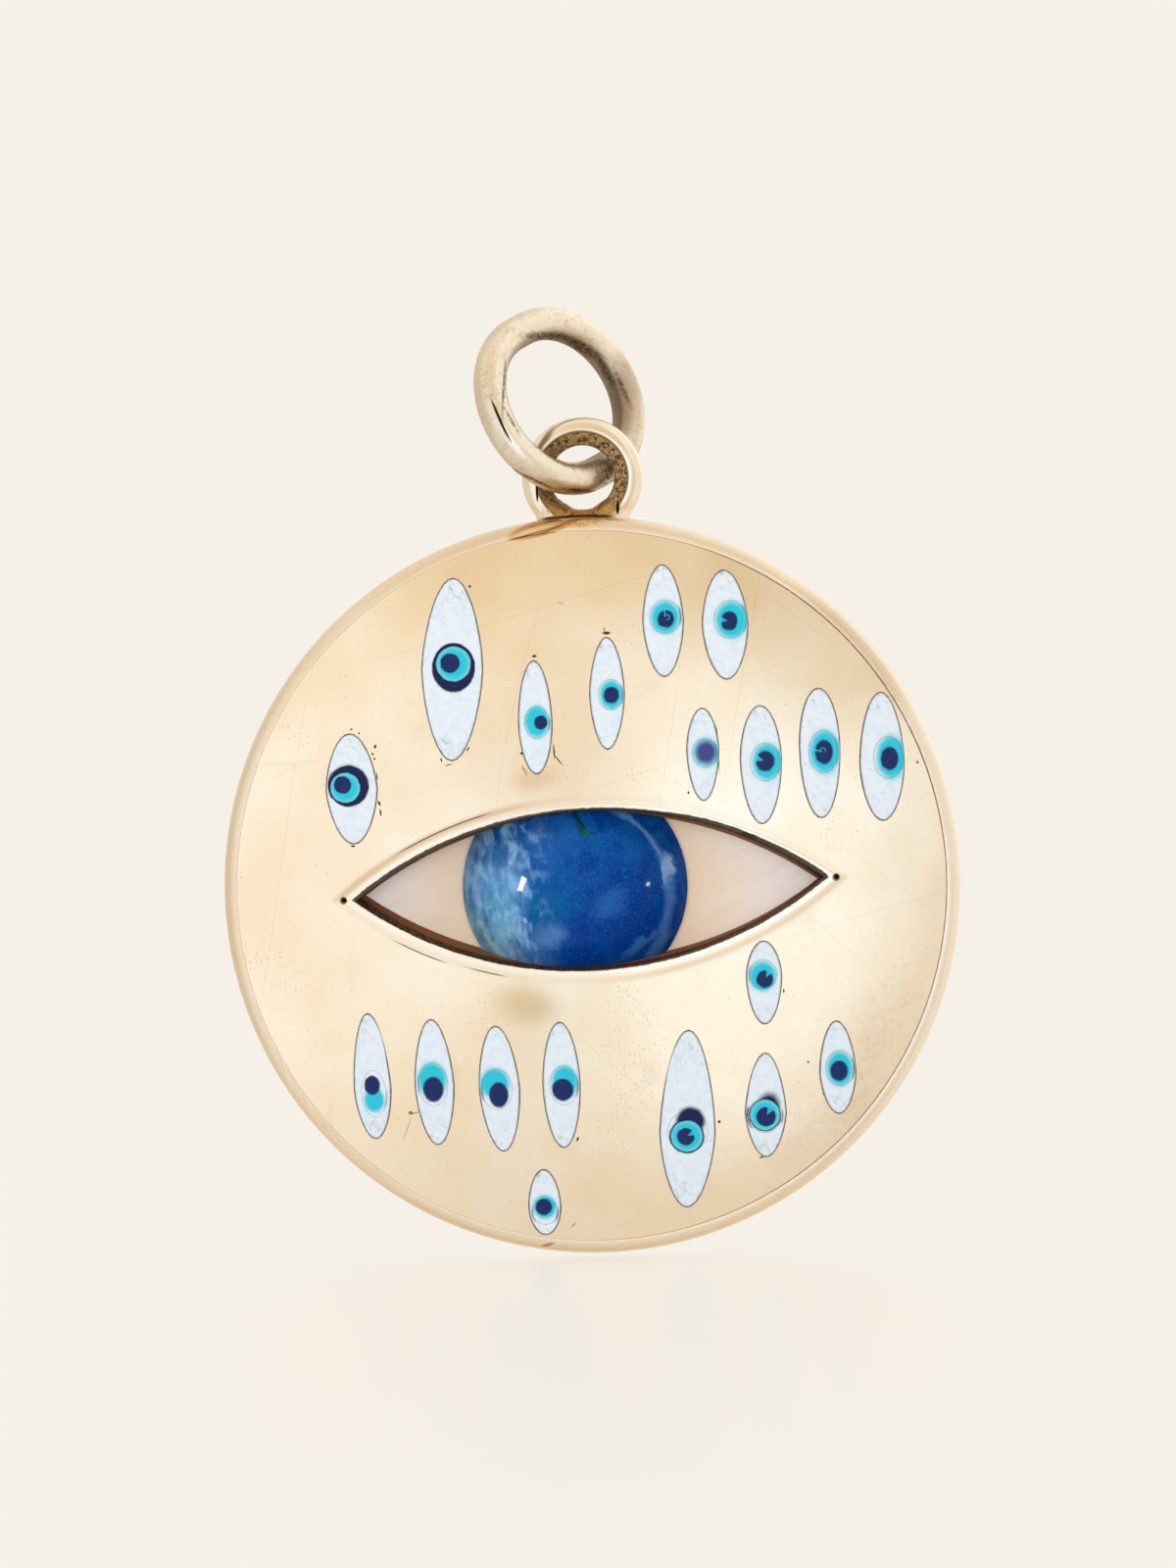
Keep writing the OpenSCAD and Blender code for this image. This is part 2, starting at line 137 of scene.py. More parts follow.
class Coat:
    """A finish that is laid on in layers, with patterns measured in millimetres on the piece."""

    def __init__(self, name: str, colour: str, roughness: float, metallic: float = 0.0) -> None:
        """Start a material with one even layer.

        Args:
            name: The material's name.
            colour: The layer's colour as "#rrggbb".
            roughness: Its roughness.
            metallic: 1 for a metal, 0 for anything else.
        """
        self.material = bpy.data.materials.new(name)
        self.material.use_nodes = True
        self.tree = self.material.node_tree
        self.tree.nodes.clear()
        self.add = partial(add_node, self.tree)
        self.shader = self.add("BsdfPrincipled")
        self.add("OutputMaterial", self.shader)
        self.colour: Feed = linear(colour)
        self.roughness: Feed = roughness
        self.metallic: Feed = metallic
        self.height: Feed | None = None

    def measured(self, middle: Vector, turn: Euler) -> bpy.types.Node:
        """Give places in millimetres round a middle, along turned axes.

        Args:
            middle: The middle in metres.
            turn: How the axes are turned from the frame's.
        Returns:
            A node whose output is the place.
        """
        here = self.add("TexCoord").outputs["Object"]
        return self.add("Mapping", here, tuple(middle), tuple(turn), (MM, MM, MM), vector_type="TEXTURE")

    def spot(
        self,
        place: Feed,
        middle: tuple[float, float],
        half: tuple[float, float],
        lean: float = 0.0,
        soft: float = 0.2,
    ) -> bpy.types.Node:
        """Mask an ellipse that goes right through the piece.

        Args:
            place: The place in millimetres.
            middle: The ellipse's middle.
            half: Its half width and half height.
            lean: Its turn in degrees.
            soft: Half the width of its soft edge, as a share of its half width.
        Returns:
            A node that is 1 inside and 0 outside.
        """
        turn = (0.0, 0.0, math.radians(lean))
        at = self.add("Mapping", place, (*middle, 0.0), turn, (*half, THROUGH), vector_type="TEXTURE")
        reach = self.add("VectorMath", at, operation="LENGTH")
        return self.add("MapRange", reach, 1.0 + soft, 1.0 - soft, **SMOOTH)

    def reach(self, place: Feed, middle: tuple[float, float] = (0.0, 0.0)) -> bpy.types.Node:
        """Measure how far a place is from a middle, whatever its depth.

        Args:
            place: The place in millimetres.
            middle: The middle across and up.
        Returns:
            A node with the distance.
        """
        off = self.add("VectorMath", place, (*middle, 0.0), operation="SUBTRACT")
        off = self.add("VectorMath", off, (1.0, 1.0, 0.0), operation="MULTIPLY")
        return self.add("VectorMath", off, operation="LENGTH")

    def band(self, value: Feed, level: float, outer: float, inner: float = 0.0) -> bpy.types.Node:
        """Mask the places where a value is near a level.

        Args:
            value: What is compared.
            level: The level.
            outer: How far from the level the mask ends.
            inner: How near to the level the mask is full.
        Returns:
            A node that is 1 near the level and 0 away from it.
        """
        off = self.add("Math", value, level, operation="SUBTRACT")
        off = self.add("Math", off, operation="ABSOLUTE")
        return self.add("MapRange", off, outer, inner, **SMOOTH)

    def hairlines(self, place: Feed, lean: float, spacing: float, width: float) -> bpy.types.Node:
        """Mask sparse, long and nearly straight scratches.

        Args:
            place: The place in millimetres.
            lean: The scratches' direction in degrees.
            spacing: The mean distance between them.
            width: Their width.
        Returns:
            A node that is 1 in a scratch and 0 beside it.
        """
        turn = (0.0, 0.0, math.radians(lean))
        stretch = (14.0 * spacing, spacing, THROUGH)
        at = self.add("Mapping", place, (0.0, 0.0, 0.0), turn, stretch, vector_type="TEXTURE")
        waves = self.add("TexNoise", at, 1.0, 0.0)
        line = self.band(waves, 0.5, 0.7 * width / spacing)
        patches = self.add("TexNoise", at, 0.8, 1.0)
        wear_and_light = self.add("MapRange", patches, 0.5, 0.62, **SMOOTH)
        return self.overlap(line, wear_and_light)

    def pits(self, place: Feed, spacing: float, radius: float, share: float) -> bpy.types.Node:
        """Mask small round pits that are strewn at random.

        Args:
            place: The place in millimetres.
            spacing: The size of the squares that hold at most one pit each.
            radius: The largest radius.
            share: The share of the squares that hold one.
        Returns:
            A node that is 1 in a pit and 0 outside.
        """
        cells = self.add("TexVoronoi", place, 1.0 / spacing, voronoi_dimensions="2D")
        pick = self.add("SeparateXYZ", cells.outputs["Color"])
        largest = radius / spacing
        size = self.add("MapRange", pick.outputs["Y"], 0.0, 1.0, 0.4 * largest, largest)
        hole = self.add("Math", cells.outputs["Distance"], size, operation="LESS_THAN")
        picked = self.add("Math", pick.outputs["X"], share, operation="LESS_THAN")
        return self.overlap(hole, picked)

    def overlap(self, *masks: Feed) -> Feed:
        """Give the mask of what all the masks share.

        Args:
            masks: The masks, or plain shares from 0 to 1.
        Returns:
            Their product.
        """
        shared = masks[0]
        for mask in masks[1:]:
            shared = self.add("Math", shared, mask, operation="MULTIPLY")
        return shared

    def edges(self, radius: float) -> bpy.types.Node:
        """Mask a thin band along the piece's own sharp edges.

        Args:
            radius: How far the band reaches from an edge, in millimetres.
        Returns:
            A node that is 1 on an edge and 0 away from it.
        """
        rounded = self.add("Bevel", radius * MM, samples=6)
        flat = self.add("NewGeometry").outputs["Normal"]
        alike = self.add("VectorMath", rounded, flat, operation="DOT_PRODUCT")
        return self.add("MapRange", alike, 0.995, 0.93, **SMOOTH)

    def lay(
        self,
        mask: Feed,
        colour: str | None = None,
        roughness: float | None = None,
        metallic: float | None = None,
    ) -> None:
        """Lay a new colour, roughness or metalness over what is there, where the mask is 1.

        Args:
            mask: Where the layer goes, from 0 to 1.
            colour: The new colour as "#rrggbb", or None to keep what is there.
            roughness: The new roughness, or None.
            metallic: The new metalness, or None.
        """
        if colour is not None:
            self.colour = self.add("Mix", mask, self.colour, linear(colour), data_type="RGBA")
        if roughness is not None:
            self.roughness = self.add("Mix", mask, self.roughness, roughness)
        if metallic is not None:
            self.metallic = self.add("Mix", mask, self.metallic, metallic)

    def mark(self, place: Feed, marks: tuple[Mark, ...], *masks: Feed) -> None:
        """Lay on marks, one over the other, where all the masks are 1.

        Args:
            place: The place in millimetres.
            marks: The marks, the lowest first.
            masks: What limits them.
        """
        for mark in marks:
            spot = self.spot(place, mark.middle, mark.half, mark.lean, mark.soft)
            self.lay(self.overlap(spot, *masks, mark.strength), mark.colour, mark.roughness)

    def lift(self, mask: Feed, height: float) -> None:
        """Raise the surface by a height in millimetres where the mask is 1."""
        base = 0.0 if self.height is None else self.height
        self.height = self.add("Math", mask, height, base, operation="MULTIPLY_ADD")

    def finish(self, **sockets: Feed) -> bpy.types.Material:
        """Link the layers to the shader and set its other sockets.

        Args:
            sockets: Values for the shader's sockets, by name with _ for a space.
        Returns:
            The finished material.
        """
        layers = {"Base Color": self.colour, "Roughness": self.roughness, "Metallic": self.metallic}
        if self.height is not None:
            layers["Normal"] = self.add("Bump", 1.0, MM, inputs={"Height": self.height})
        for name, value in sockets.items():
            layers[name.replace("_", " ")] = value
        for name, feed in layers.items():
            socket = self.shader.inputs[name]
            if isinstance(feed, bpy.types.Node):
                self.tree.links.new(next(out for out in feed.outputs if out.enabled), socket)
            else:
                socket.default_value = feed
        return self.material


@dataclass(frozen=True)
class Layout:
    """Where the main forms lie in the frame, in metres."""

    disc: Vector
    radius: float
    ring: Vector
    stone: Vector
    # The pendant faces -Y: its own X is right, its own Y is up and its own Z comes forward
    facing: Euler = field(default_factory=lambda: Euler((math.radians(90), 0.0, 0.0)))

    @classmethod
    def from_frame(cls, packed: dict) -> "Layout":
        """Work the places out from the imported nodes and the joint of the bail.

        Args:
        Returns:
            The layout.
        """
        low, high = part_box("case")
        swing = next(joint for joint in packed["joints"] if joint["child"] == "pendant")
        bail = Vector(swing["pos_m"])
        radius = (high.x - low.x) / 2
        stone_low, stone_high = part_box("iris_stone")
        ring_low, ring_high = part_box("jump_ring")
        return cls(
            disc=Vector((bail.x, bail.y, low.z + radius)),
            radius=radius,
            ring=(ring_low + ring_high) / 2,
            stone=(stone_low + stone_high) / 2,
        )


def dress(node: str, material: bpy.types.Material) -> None:
    """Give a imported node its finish, in every material slot that it has.

    Args:
        node: The node's name.
        material: Its finish.
    """
    mesh = frame["nodes"][node].data
    if not mesh.materials:
        mesh.materials.append(material)
    for i in range(len(mesh.materials)):
        mesh.materials[i] = material
    LOG.info("%s: %s", node, material.name)


@dataclass(frozen=True)
class PolishedGold:
    """Fourteen carat gold, hammered, soldered and hand polished, then worn for a long time.

    The eye sees broad soft reflections that waver a little, a warmer and a paler tone side by
    side, hair scratches, small casting pits, and brown dirt wherever a cloth can't reach. Light and
    shade are painted in too: on the rim, the lip, the window, the cells, the bail and the solder.
    """

    # Also the painted highlight along the solder leaf and painted glints on the bail
    metal: str = "#FCEBD0"
    warm: str = "#F3D5A9"
    # Also painted highlights and light on the rim, the crease, the lip and the bail
    pale: str = "#FFF4E4"
    shade: str = "#D8B483"
    # Black dirt, and also painted shade at the lip's inner edge, in the window and on the bail
    dirt_and_shade: str = "#24150C"
    # Brown stain, and also painted shade on the window's wall and the cells' walls
    stain_and_shade: str = "#96623F"
    # Also painted shade in the crease and under the solder leaf, and a painted reflection of the ring on
    # the bail
    umber: str = "#8A6340"
    tarnish_and_shade: str = "#B8925F"
    solder: str = "#D6A253"
    polish: float = 0.24
    dull: float = 0.5
    matt: float = 0.95


@dataclass(frozen=True)
class CaseSurvey:
    """What the layers of dirt and of painted light and shade on the case read: places and distances in
    millimetres, and masks.

    Reach is the distance from the disc's axis, edge the distance outside the window's outline.
    Front, steep and bail are 1 on the front, on the walls and on the bail. Grime is a coarse
    noise and fine a fine one.
    """

    drawn: Feed
    axes: bpy.types.Node
    reach: Feed
    window: Feed
    edge: Feed
    front: Feed
    steep: Feed
    bail: Feed
    grime: Feed
    fine: Feed


@dataclass
class GoldCase:
    """The hollow body with its rim, window and bail, one soldered piece of gold."""

    layout: Layout
    gold: PolishedGold = field(default_factory=PolishedGold)
    rim_roll: float = 0.54
    window: tuple[float, float] = (19.16, 6.5)
    window_middle: tuple[float, float] = (-0.02, -0.08)
    window_tilt: float = 1.4
    bail_up: float = 16.61
    bail_bevel: float = 1.84
    pit_across: float = 10.02
    dome_radius: float = 53.3
    dome_top: float = 3.46
    # The front begins between these depths, ahead of the middle of the disc's thickness
    front_depth: tuple[float, float] = (0.2, 0.4)
    marks: tuple[Mark, ...] = (
        # Pits and burrs at the cells' edges
        Mark((-4.62, 12.3), (0.05, 0.05)),
        Mark((-4.8, 5.72), (0.1, 0.03), 50),
        Mark((-5.9, 5.3), (0.03, 0.09), 12),
        Mark((-5.6, 5.1), (0.16, 0.02), 14),
        Mark((-8.6, 5.9), (0.05, 0.08), -20),
        Mark((-8.71, 5.6), (0.035, 0.07), 30),
        Mark((-8.64, 5.4), (0.045, 0.045)),
        Mark((-8.43, 3.22), (0.035, 0.14), 8),
        Mark((-8.48, 3.6), (0.05, 0.1), 24),
        Mark((-8.64, 3.85), (0.04, 0.05)),
        Mark((-8.55, 4.7), (0.025, 0.16), 6, "#7A5B3A"),
        Mark((-9.57, 6.62), (0.06, 0.03), 10),
        Mark((-9.25, 6.45), (0.03, 0.05), -30),
        Mark((-9.6, 1.88), (0.09, 0.04), -8),
        Mark((-2.03, 9.42), (0.09, 0.05), 8),
        Mark((-1.3, 5.55), (0.03, 0.3), 3),
        Mark((-1.13, 5.2), (0.025, 0.26), 38),
        Mark((-2.6, 5.5), (0.08, 0.05)),
        Mark((-2.5, 4.78), (0.06, 0.24), 28, "#B07C48", 0.7),
        Mark((0.92, 10.28), (0.16, 0.06), 0, "#54401F"),
        Mark((0.83, 10.42), (0.02, 0.09), 8, "#54401F"),
        Mark((5.34, 5.5), (0.025, 0.9), 2),
        Mark((4.11, 3.75), (0.04, 0.06)),
        Mark((4.98, 10.85), (0.05, 0.05)),
        Mark((-0.77, -10.25), (0.04, 0.1), -20),
        Mark((5.0, -9.68), (0.06, 0.06)),
        Mark((7.76, -4.4), (0.03, 0.09)),
        Mark((6.66, -11.2), (0.09, 0.03), 10),
        Mark((9.25, -8.6), (0.03, 0.12)),
        # Dull and pinkish patches and strays on the open metal
        Mark((-2.7, -4.7), (1.1, 0.7), -12, "#DFC59B", 0.85, 0.8),
        Mark((-2.1, 4.45), (0.8, 0.4), 8, "#EBC6A0", 0.7, 0.9),
        Mark((-7.55, -9.05), (0.1, 0.07), -10, "#9A7350"),
        Mark((-7.35, -9.05), (0.2, 0.02), 14, "#9A7350"),
        Mark((-7.72, -9.7), (0.02, 0.5), -22, "#B89468", 0.7),
        Mark((13.39, 4.71), (0.06, 0.06), 0, "#B5754A"),
        Mark((-0.93, 11.53), (0.14, 0.02), -12, "#A8855A", 0.8),
        Mark((-1.06, -13.8), (0.12, 0.03), 50, "#A8855A", 0.8),
        Mark((-4.95, -14.28), (0.16, 0.05), -16, "#7A6148"),
        Mark((-2.14, -14.6), (0.26, 0.06), 12, "#A8855A", 0.8),
        Mark((8.67, -7.34), (0.05, 0.05), 0, "#8C6F4E"),
    )

    @property
    def outline(self) -> float:
        """Give the disc's radius in millimetres."""
        return self.layout.radius / MM

    @property
    def crease(self) -> float:
        """Give the radius at which the rolled rim meets the dome."""
        return self.outline - self.rim_roll

    def window_edge(self, coat: Coat, place: Feed) -> bpy.types.Node:
        """Measure how far a place lies outside the window's almond outline.

        Args:
            coat: The finish that is being made.
            place: The place in millimetres round the window's middle.
        Returns:
            A node with the distance, below zero inside the window.
        """
        length, height = self.window
        arc_radius = (length * length / 4 + height * height / 4) / height
        shift = arc_radius - height / 2
        arcs = [coat.reach(place, (0.0, side * shift)) for side in (-1, 1)]
        outer = coat.add("Math", *arcs, operation="MAXIMUM")
        return coat.add("Math", outer, arc_radius, operation="SUBTRACT")

    def blacken(self, coat: Coat, *masks: Feed) -> None:
        """Lay on matt black that hides the metal, as dirt in some places and painted shade in others,
        where all the masks are 1.
        """
        coat.lay(coat.overlap(*masks), self.gold.dirt_and_shade, self.gold.matt, 0.0)

    def polish(self, coat: Coat, drawn: Feed) -> None:
        """Lay on the clean metal: tones, waver, hair scratches, casting pits and a patch of painted shade
        at the lower right.

        Args:
            coat: The finish that is being made.
            drawn: The place in millimetres round the disc's middle.
        """
        gold = self.gold
        tone = coat.add("TexNoise", drawn, 1 / 5.0, 2.0, 0.5)
        depth = coat.add("SeparateXYZ", drawn).outputs["Z"]
        # The warm and pale tones fade towards the plain back
        ahead = coat.add("MapRange", depth, -0.6, 0.6, 0.35, 1.0)
        warm = coat.add("MapRange", tone, 0.42, 0.66, 0.0, 0.3, **SMOOTH)
        coat.lay(coat.overlap(warm, ahead), gold.warm)
        pale = coat.add("MapRange", tone, 0.5, 0.32, 0.0, 0.4, **SMOOTH)
        coat.lay(coat.overlap(pale, ahead), gold.pale)
        # Fire stain and fine wear, mottled at about a quarter of a millimetre
        mottle = coat.add("TexNoise", drawn, 1 / 0.26, 4.0, 0.65)
        coat.lay(coat.add("MapRange", mottle, 0.5, 0.8, 0.0, 0.22, **SMOOTH), gold.warm, 0.34)
        # The sheet was hammered and filed, so reflections waver over about 3 mm
        waver = coat.add("TexNoise", drawn, 1 / 3.2, 1.0, 0.4)
        coat.lift(waver, 0.035)
        coat.lift(mottle, 0.001)
        # Painted shade darkens the lower right in a mottled patch, which is also more matt
        lower_right_shade = coat.spot(drawn, (10.7, -8.2), (1.3, 4.8), -27.0, 0.8)
        front = coat.add("MapRange", depth, *self.front_depth)
        share = coat.add("MapRange", mottle, 0.4, 0.75, 0.1, 0.36, **SMOOTH)
        coat.lay(coat.overlap(lower_right_shade, front, share), gold.shade, 0.34)
        for lean, spacing in ((17.0, 1.9), (-38.0, 2.3), (81.0, 2.1)):
            # Real ones are 5 to 10 microns wide and are drawn at 30 to show
            scratch = coat.hairlines(drawn, lean, spacing, 0.03)
            coat.lay(coat.overlap(scratch, 0.08), gold.umber)
            coat.lift(scratch, -0.0006)
        cluster = coat.add("TexNoise", drawn, 1 / 3.0, 1.0)
        crowd = coat.spot(drawn, (1.5, -6.2), (1.6, 1.8), 0.0, 0.6)
        crowd = coat.add("Math", crowd, 0.22, cluster, operation="MULTIPLY_ADD")
        pitted = coat.add("MapRange", crowd, 0.58, 0.72, **SMOOTH)
        pits = coat.overlap(coat.pits(drawn, 0.2, 0.032, 0.5), pitted)
        coat.lay(coat.overlap(pits, 0.4), gold.umber, gold.dull)
        strays = coat.pits(drawn, 0.9, 0.035, 0.22)
        coat.lay(coat.overlap(strays, 0.35), gold.umber, gold.dull)

    def survey(self, coat: Coat, drawn: Feed) -> CaseSurvey:
        """Measure the case once for all its layers of dirt and of painted light and shade.

        Args:
            coat: The finish that is being made.
            drawn: The place in millimetres round the disc's middle.
        Returns:
            What was measured.
        """
        add = coat.add
        axes = add("SeparateXYZ", drawn)
        reach = coat.reach(drawn)
        middle, tilt = (*self.window_middle, 0.0), (0.0, 0.0, math.radians(self.window_tilt))
        window = add("Mapping", drawn, middle, tilt, (1.0, 1.0, 1.0), vector_type="TEXTURE")
        normal = add("TexCoord").outputs["Normal"]
        facing = add("Math", add("SeparateXYZ", normal).outputs["Y"], operation="ABSOLUTE")
        return CaseSurvey(
            drawn=drawn,
            axes=axes,
            reach=reach,
            window=window,
            edge=self.window_edge(coat, window),
            front=add("MapRange", axes.outputs["Z"], *self.front_depth),
            steep=add("MapRange", facing, *STEEP),
            bail=add("MapRange", reach, self.outline - 0.14, self.outline - 0.04),
            grime=add("TexNoise", drawn, 1 / 0.22, 5.0, 0.7),
            fine=add("TexNoise", drawn, 1 / 0.07, 2.0, 0.6),
        )

    def wear_and_shade_rim(self, coat: Coat, at: CaseSurvey) -> None:
        """Dull the rolled rim, which is more matt than the dome, paint it paler at the right and shaded
        at the upper right and the left, and mark its crease.

        Args:
            coat: The finish that is being made.
            at: What was measured on the case.
        """
        add, gold = coat.add, self.gold
        across, up = at.axes.outputs["X"], at.axes.outputs["Y"]
        rolled = add("MapRange", at.reach, self.crease - 0.03, self.crease + 0.05, **SMOOTH)
        inside = add("MapRange", at.reach, self.outline + 0.08, self.outline + 0.02)
        rolled = coat.overlap(rolled, inside)
        coat.lay(rolled, None, 0.44)
        # A paler tone goes all round the rim; painted light makes it paler still at the right, and
        # painted shade darkens it at the upper right and the left
        right = add("MapRange", across, 9.0, 14.0, 0.45, 0.95, **SMOOTH)
        coat.lay(coat.overlap(rolled, right), gold.pale)
        upper = coat.spot(at.drawn, (11.3, 9.6), (2.8, 2.8), 0.0, 0.5)
        coat.lay(coat.overlap(rolled, upper, 0.4), gold.shade)
        left = add("MapRange", across, 7.0, -4.0, 0.02, 0.27, **SMOOTH)
        coat.lay(coat.overlap(rolled, left), gold.shade)
        specks = add("TexNoise", at.drawn, 1 / 0.12, 3.0, 0.7)
        specks = add("MapRange", specks, 0.54, 0.75, 0.0, 0.26, **SMOOTH)
        coat.lay(coat.overlap(rolled, specks), gold.tarnish_and_shade)
        # A painted highlight makes the crease pale at the left; at the upper right it is brown, as dirt
        # and painted shade
        line = coat.band(at.reach, self.crease, 0.05, 0.02)
        pale = add("MapRange", across, 4.0, -2.0, 0.0, 0.8, **SMOOTH)
        coat.lay(coat.overlap(line, pale), gold.pale, 0.3)
        right = add("MapRange", across, 3.0, 9.0, **SMOOTH)
        high = add("MapRange", up, 0.0, 5.0, 0.3, 0.6, **SMOOTH)
        wear_and_light = add("MapRange", at.grime, 0.25, 0.5)
        coat.lay(coat.overlap(line, at.front, right, high, wear_and_light), gold.umber, gold.dull, 0.4)

    def shade_lip(self, coat: Coat, at: CaseSurvey) -> None:
        """Lay on the lip's painted highlight, the painted shadow along its inner edge and the soft brown
        painted shade outside it.

        Args:
            coat: The finish that is being made.
            at: What was measured on the case.
        """
        add, gold = coat.add, self.gold
        axes = add("SeparateXYZ", at.window)
        across, up = axes.outputs["X"], axes.outputs["Y"]
        outside = coat.overlap(add("MapRange", at.edge, 0.0, 0.02), at.front)
        # A painted highlight makes the raised lip pale
        pale = add("MapRange", at.edge, 0.34, 0.26, **SMOOTH)
        coat.lay(coat.overlap(outside, pale, 0.5), gold.pale)
        # Painted shade, soft and brown, lies outside the lip, strongest at the upper left and the lower
        # right
        shade = coat.band(at.edge, 0.46, 0.24)
        above = add("MapRange", up, -0.2, 0.3, **SMOOTH)
        left = add("MapRange", across, -0.5, -4.0, 0.12, 0.75, **SMOOTH)
        right = add("MapRange", across, -1.0, 4.0, 0.15, 0.55, **SMOOTH)
        share = add("Mix", above, right, left)
        coat.lay(coat.overlap(outside, shade, share), gold.shade, 0.32)
        # A painted shadow blackens the lip's inner edge, widest at the upper right
        widest = add("MapRange", across, 2.0, 5.5, 0.07, 0.17, **SMOOTH)
        width = add("Mix", above, 0.05, widest)
        ragged = add("Math", at.grime, 0.12, at.edge, operation="MULTIPLY_ADD")
        ragged = add("Math", ragged, 0.06, operation="SUBTRACT")
        line = add("Math", ragged, width, operation="SUBTRACT")
        line = add("MapRange", line, 0.02, -0.02, **SMOOTH)
        self.blacken(coat, line, at.front, 0.92)

    def darken_window(self, coat: Coat, at: CaseSurvey) -> None:
        """Lay on the window's wall, which is brown at the plate and rough and black below the lip: dirt
        and painted shade of the recess, with flecks of gold.

        Args:
            coat: The finish that is being made.
            at: What was measured on the case.
        """
        add, gold = coat.add, self.gold
        # Dirt and painted shade darken the wall in the recess
        near = add("MapRange", at.edge, 0.2, 0.12)
        wall = coat.overlap(near, at.front, at.steep)
        coat.lay(wall, gold.stain_and_shade, gold.matt, 0.0)
        # Sunk is the depth below the dome, whose height falls with the square of the reach
        sunk = add("Math", at.reach, 2.0, operation="POWER")
        sunk = add("Math", sunk, -0.5 / self.dome_radius, self.dome_top, operation="MULTIPLY_ADD")
        sunk = add("Math", sunk, at.axes.outputs["Z"], operation="SUBTRACT")
        ragged = add("Math", at.grime, 0.9, sunk, operation="MULTIPLY_ADD")
        upper = add("MapRange", ragged, 1.9, 1.3, **SMOOTH)
        coat.lay(coat.overlap(wall, upper, 0.9), gold.dirt_and_shade)
        flecks = add("MapRange", at.fine, 0.58, 0.64, **SMOOTH)
        coat.lay(coat.overlap(wall, upper, flecks, 0.8), gold.tarnish_and_shade, 0.3, 1.0)

    def scribe(self, coat: Coat, at: CaseSurvey) -> None:
        """Lay on the short scribed lines that run along the lip, outside it.

        Args:
            coat: The finish that is being made.
            at: What was measured on the case.
        """
        axes = coat.add("SeparateXYZ", at.window)
        for side, start, end, off in (
            (1, -7.7, -4.05, 0.5),
            (-1, -8.0, -6.1, 0.58),
            (-1, -5.0, -3.7, 0.5),
        ):
            line = coat.band(at.edge, off, 0.035, 0.01)
            run = (
                coat.add("MapRange", axes.outputs["X"], start - 0.4, start + 0.5, **SMOOTH),
                coat.add("MapRange", axes.outputs["X"], end + 0.4, end - 0.3, **SMOOTH),
            )
            half = coat.add("MapRange", axes.outputs["Y"], 0.0, side * 0.1)
            coat.lay(coat.overlap(line, *run, half, at.front, 0.9), self.gold.dirt_and_shade)

    def darken_cells(self, coat: Coat, at: CaseSurvey) -> None:
        """Lay on the brown painted shade of the cells' walls and the two pits beyond the window's
        corners.

        Args:
            coat: The finish that is being made.
            at: What was measured on the case.
        """
        gold = self.gold
        # Painted shade browns the walls of the cells, in the gaps round the enamel
        cells = coat.overlap(coat.add("MapRange", at.edge, 0.35, 0.4), at.front, at.steep)
        inside = coat.add("MapRange", at.reach, self.crease - 0.3, self.crease - 0.35)
        coat.lay(coat.overlap(cells, inside), gold.stain_and_shade, gold.matt, 0.0)
        for side in (-1, 1):
            rim = coat.spot(at.window, (side * self.pit_across, 0.0), (0.16, 0.16), 0.0, 0.15)
            coat.lay(coat.overlap(rim, at.front, 0.6), gold.umber, gold.dull)
            hole = coat.spot(at.window, (side * self.pit_across, 0.0), (0.1, 0.1), 0.0, 0.3)
            self.blacken(coat, hole, at.front)

    def age_and_light_bail(self, coat: Coat, at: CaseSurvey) -> None:
        """Lay on the dark inner half of the bail, as tarnish, dirt and painted shade with painted glints,
        its pale bevel, whose paleness is a painted sheen, a painted reflection of the ring, and the
        solder below it.

        Args:
            coat: The finish that is being made.
            at: What was measured on the case.
        """
        add, gold = coat.add, self.gold
        from_bail = coat.reach(at.drawn, (0.0, self.bail_up))
        rough_edge = add("Math", at.grime, 0.06, from_bail, operation="MULTIPLY_ADD")
        start = self.bail_bevel + 0.03
        inner = coat.overlap(add("MapRange", rough_edge, start + 0.02, start - 0.01), at.bail)
        # The inner half is tarnished, and black patches on it are dirt and painted shade
        coat.lay(inner, gold.tarnish_and_shade, 0.38)
        dark = add("MapRange", at.grime, 0.44, 0.58, **SMOOTH)
        self.blacken(coat, inner, dark, 0.85)
        # Painted glints of clean gold show in the inner half
        bright = add("MapRange", at.fine, 0.56, 0.68, **SMOOTH)
        coat.lay(coat.overlap(inner, bright, 0.7), gold.metal, 0.3)
        self.blacken(coat, coat.band(from_bail, start, 0.07, 0.02), at.bail, 0.75)
        # A painted sheen makes the outer half pale
        outer = add("MapRange", from_bail, start + 0.1, start + 0.2, **SMOOTH)
        coat.lay(coat.overlap(outer, at.bail, 0.6), gold.pale)
        # A painted reflection of the ring, dark brown, lies on the outer half at the upper left
        ring_reflection = coat.spot(at.drawn, (-1.5, 18.05), (0.14, 0.62), -31.0, 0.6)
        coat.lay(coat.overlap(ring_reflection, outer, 0.75), gold.umber, gold.dull)
        low = add("MapRange", at.axes.outputs["Y"], 15.75, 15.2, **SMOOTH)
        wide = add("MapRange", from_bail, 2.2, 1.9, **SMOOTH)
        lapped = add("MapRange", at.reach, self.outline - 0.6, self.outline - 0.25, **SMOOTH)
        patchy = add("MapRange", at.grime, 0.36, 0.6, **SMOOTH)
        coat.lay(coat.overlap(low, wide, lapped, patchy, 0.85), gold.solder, 0.36)

    def run_solder(self, coat: Coat, at: CaseSurvey) -> None:
        """Lay on the leaf of amber solder that ran from the bail's foot onto the dome, with a painted
        highlight along it and painted shade under its lower edge.

        Args:
            coat: The finish that is being made.
            at: What was measured on the case.
        """
        gold = self.gold
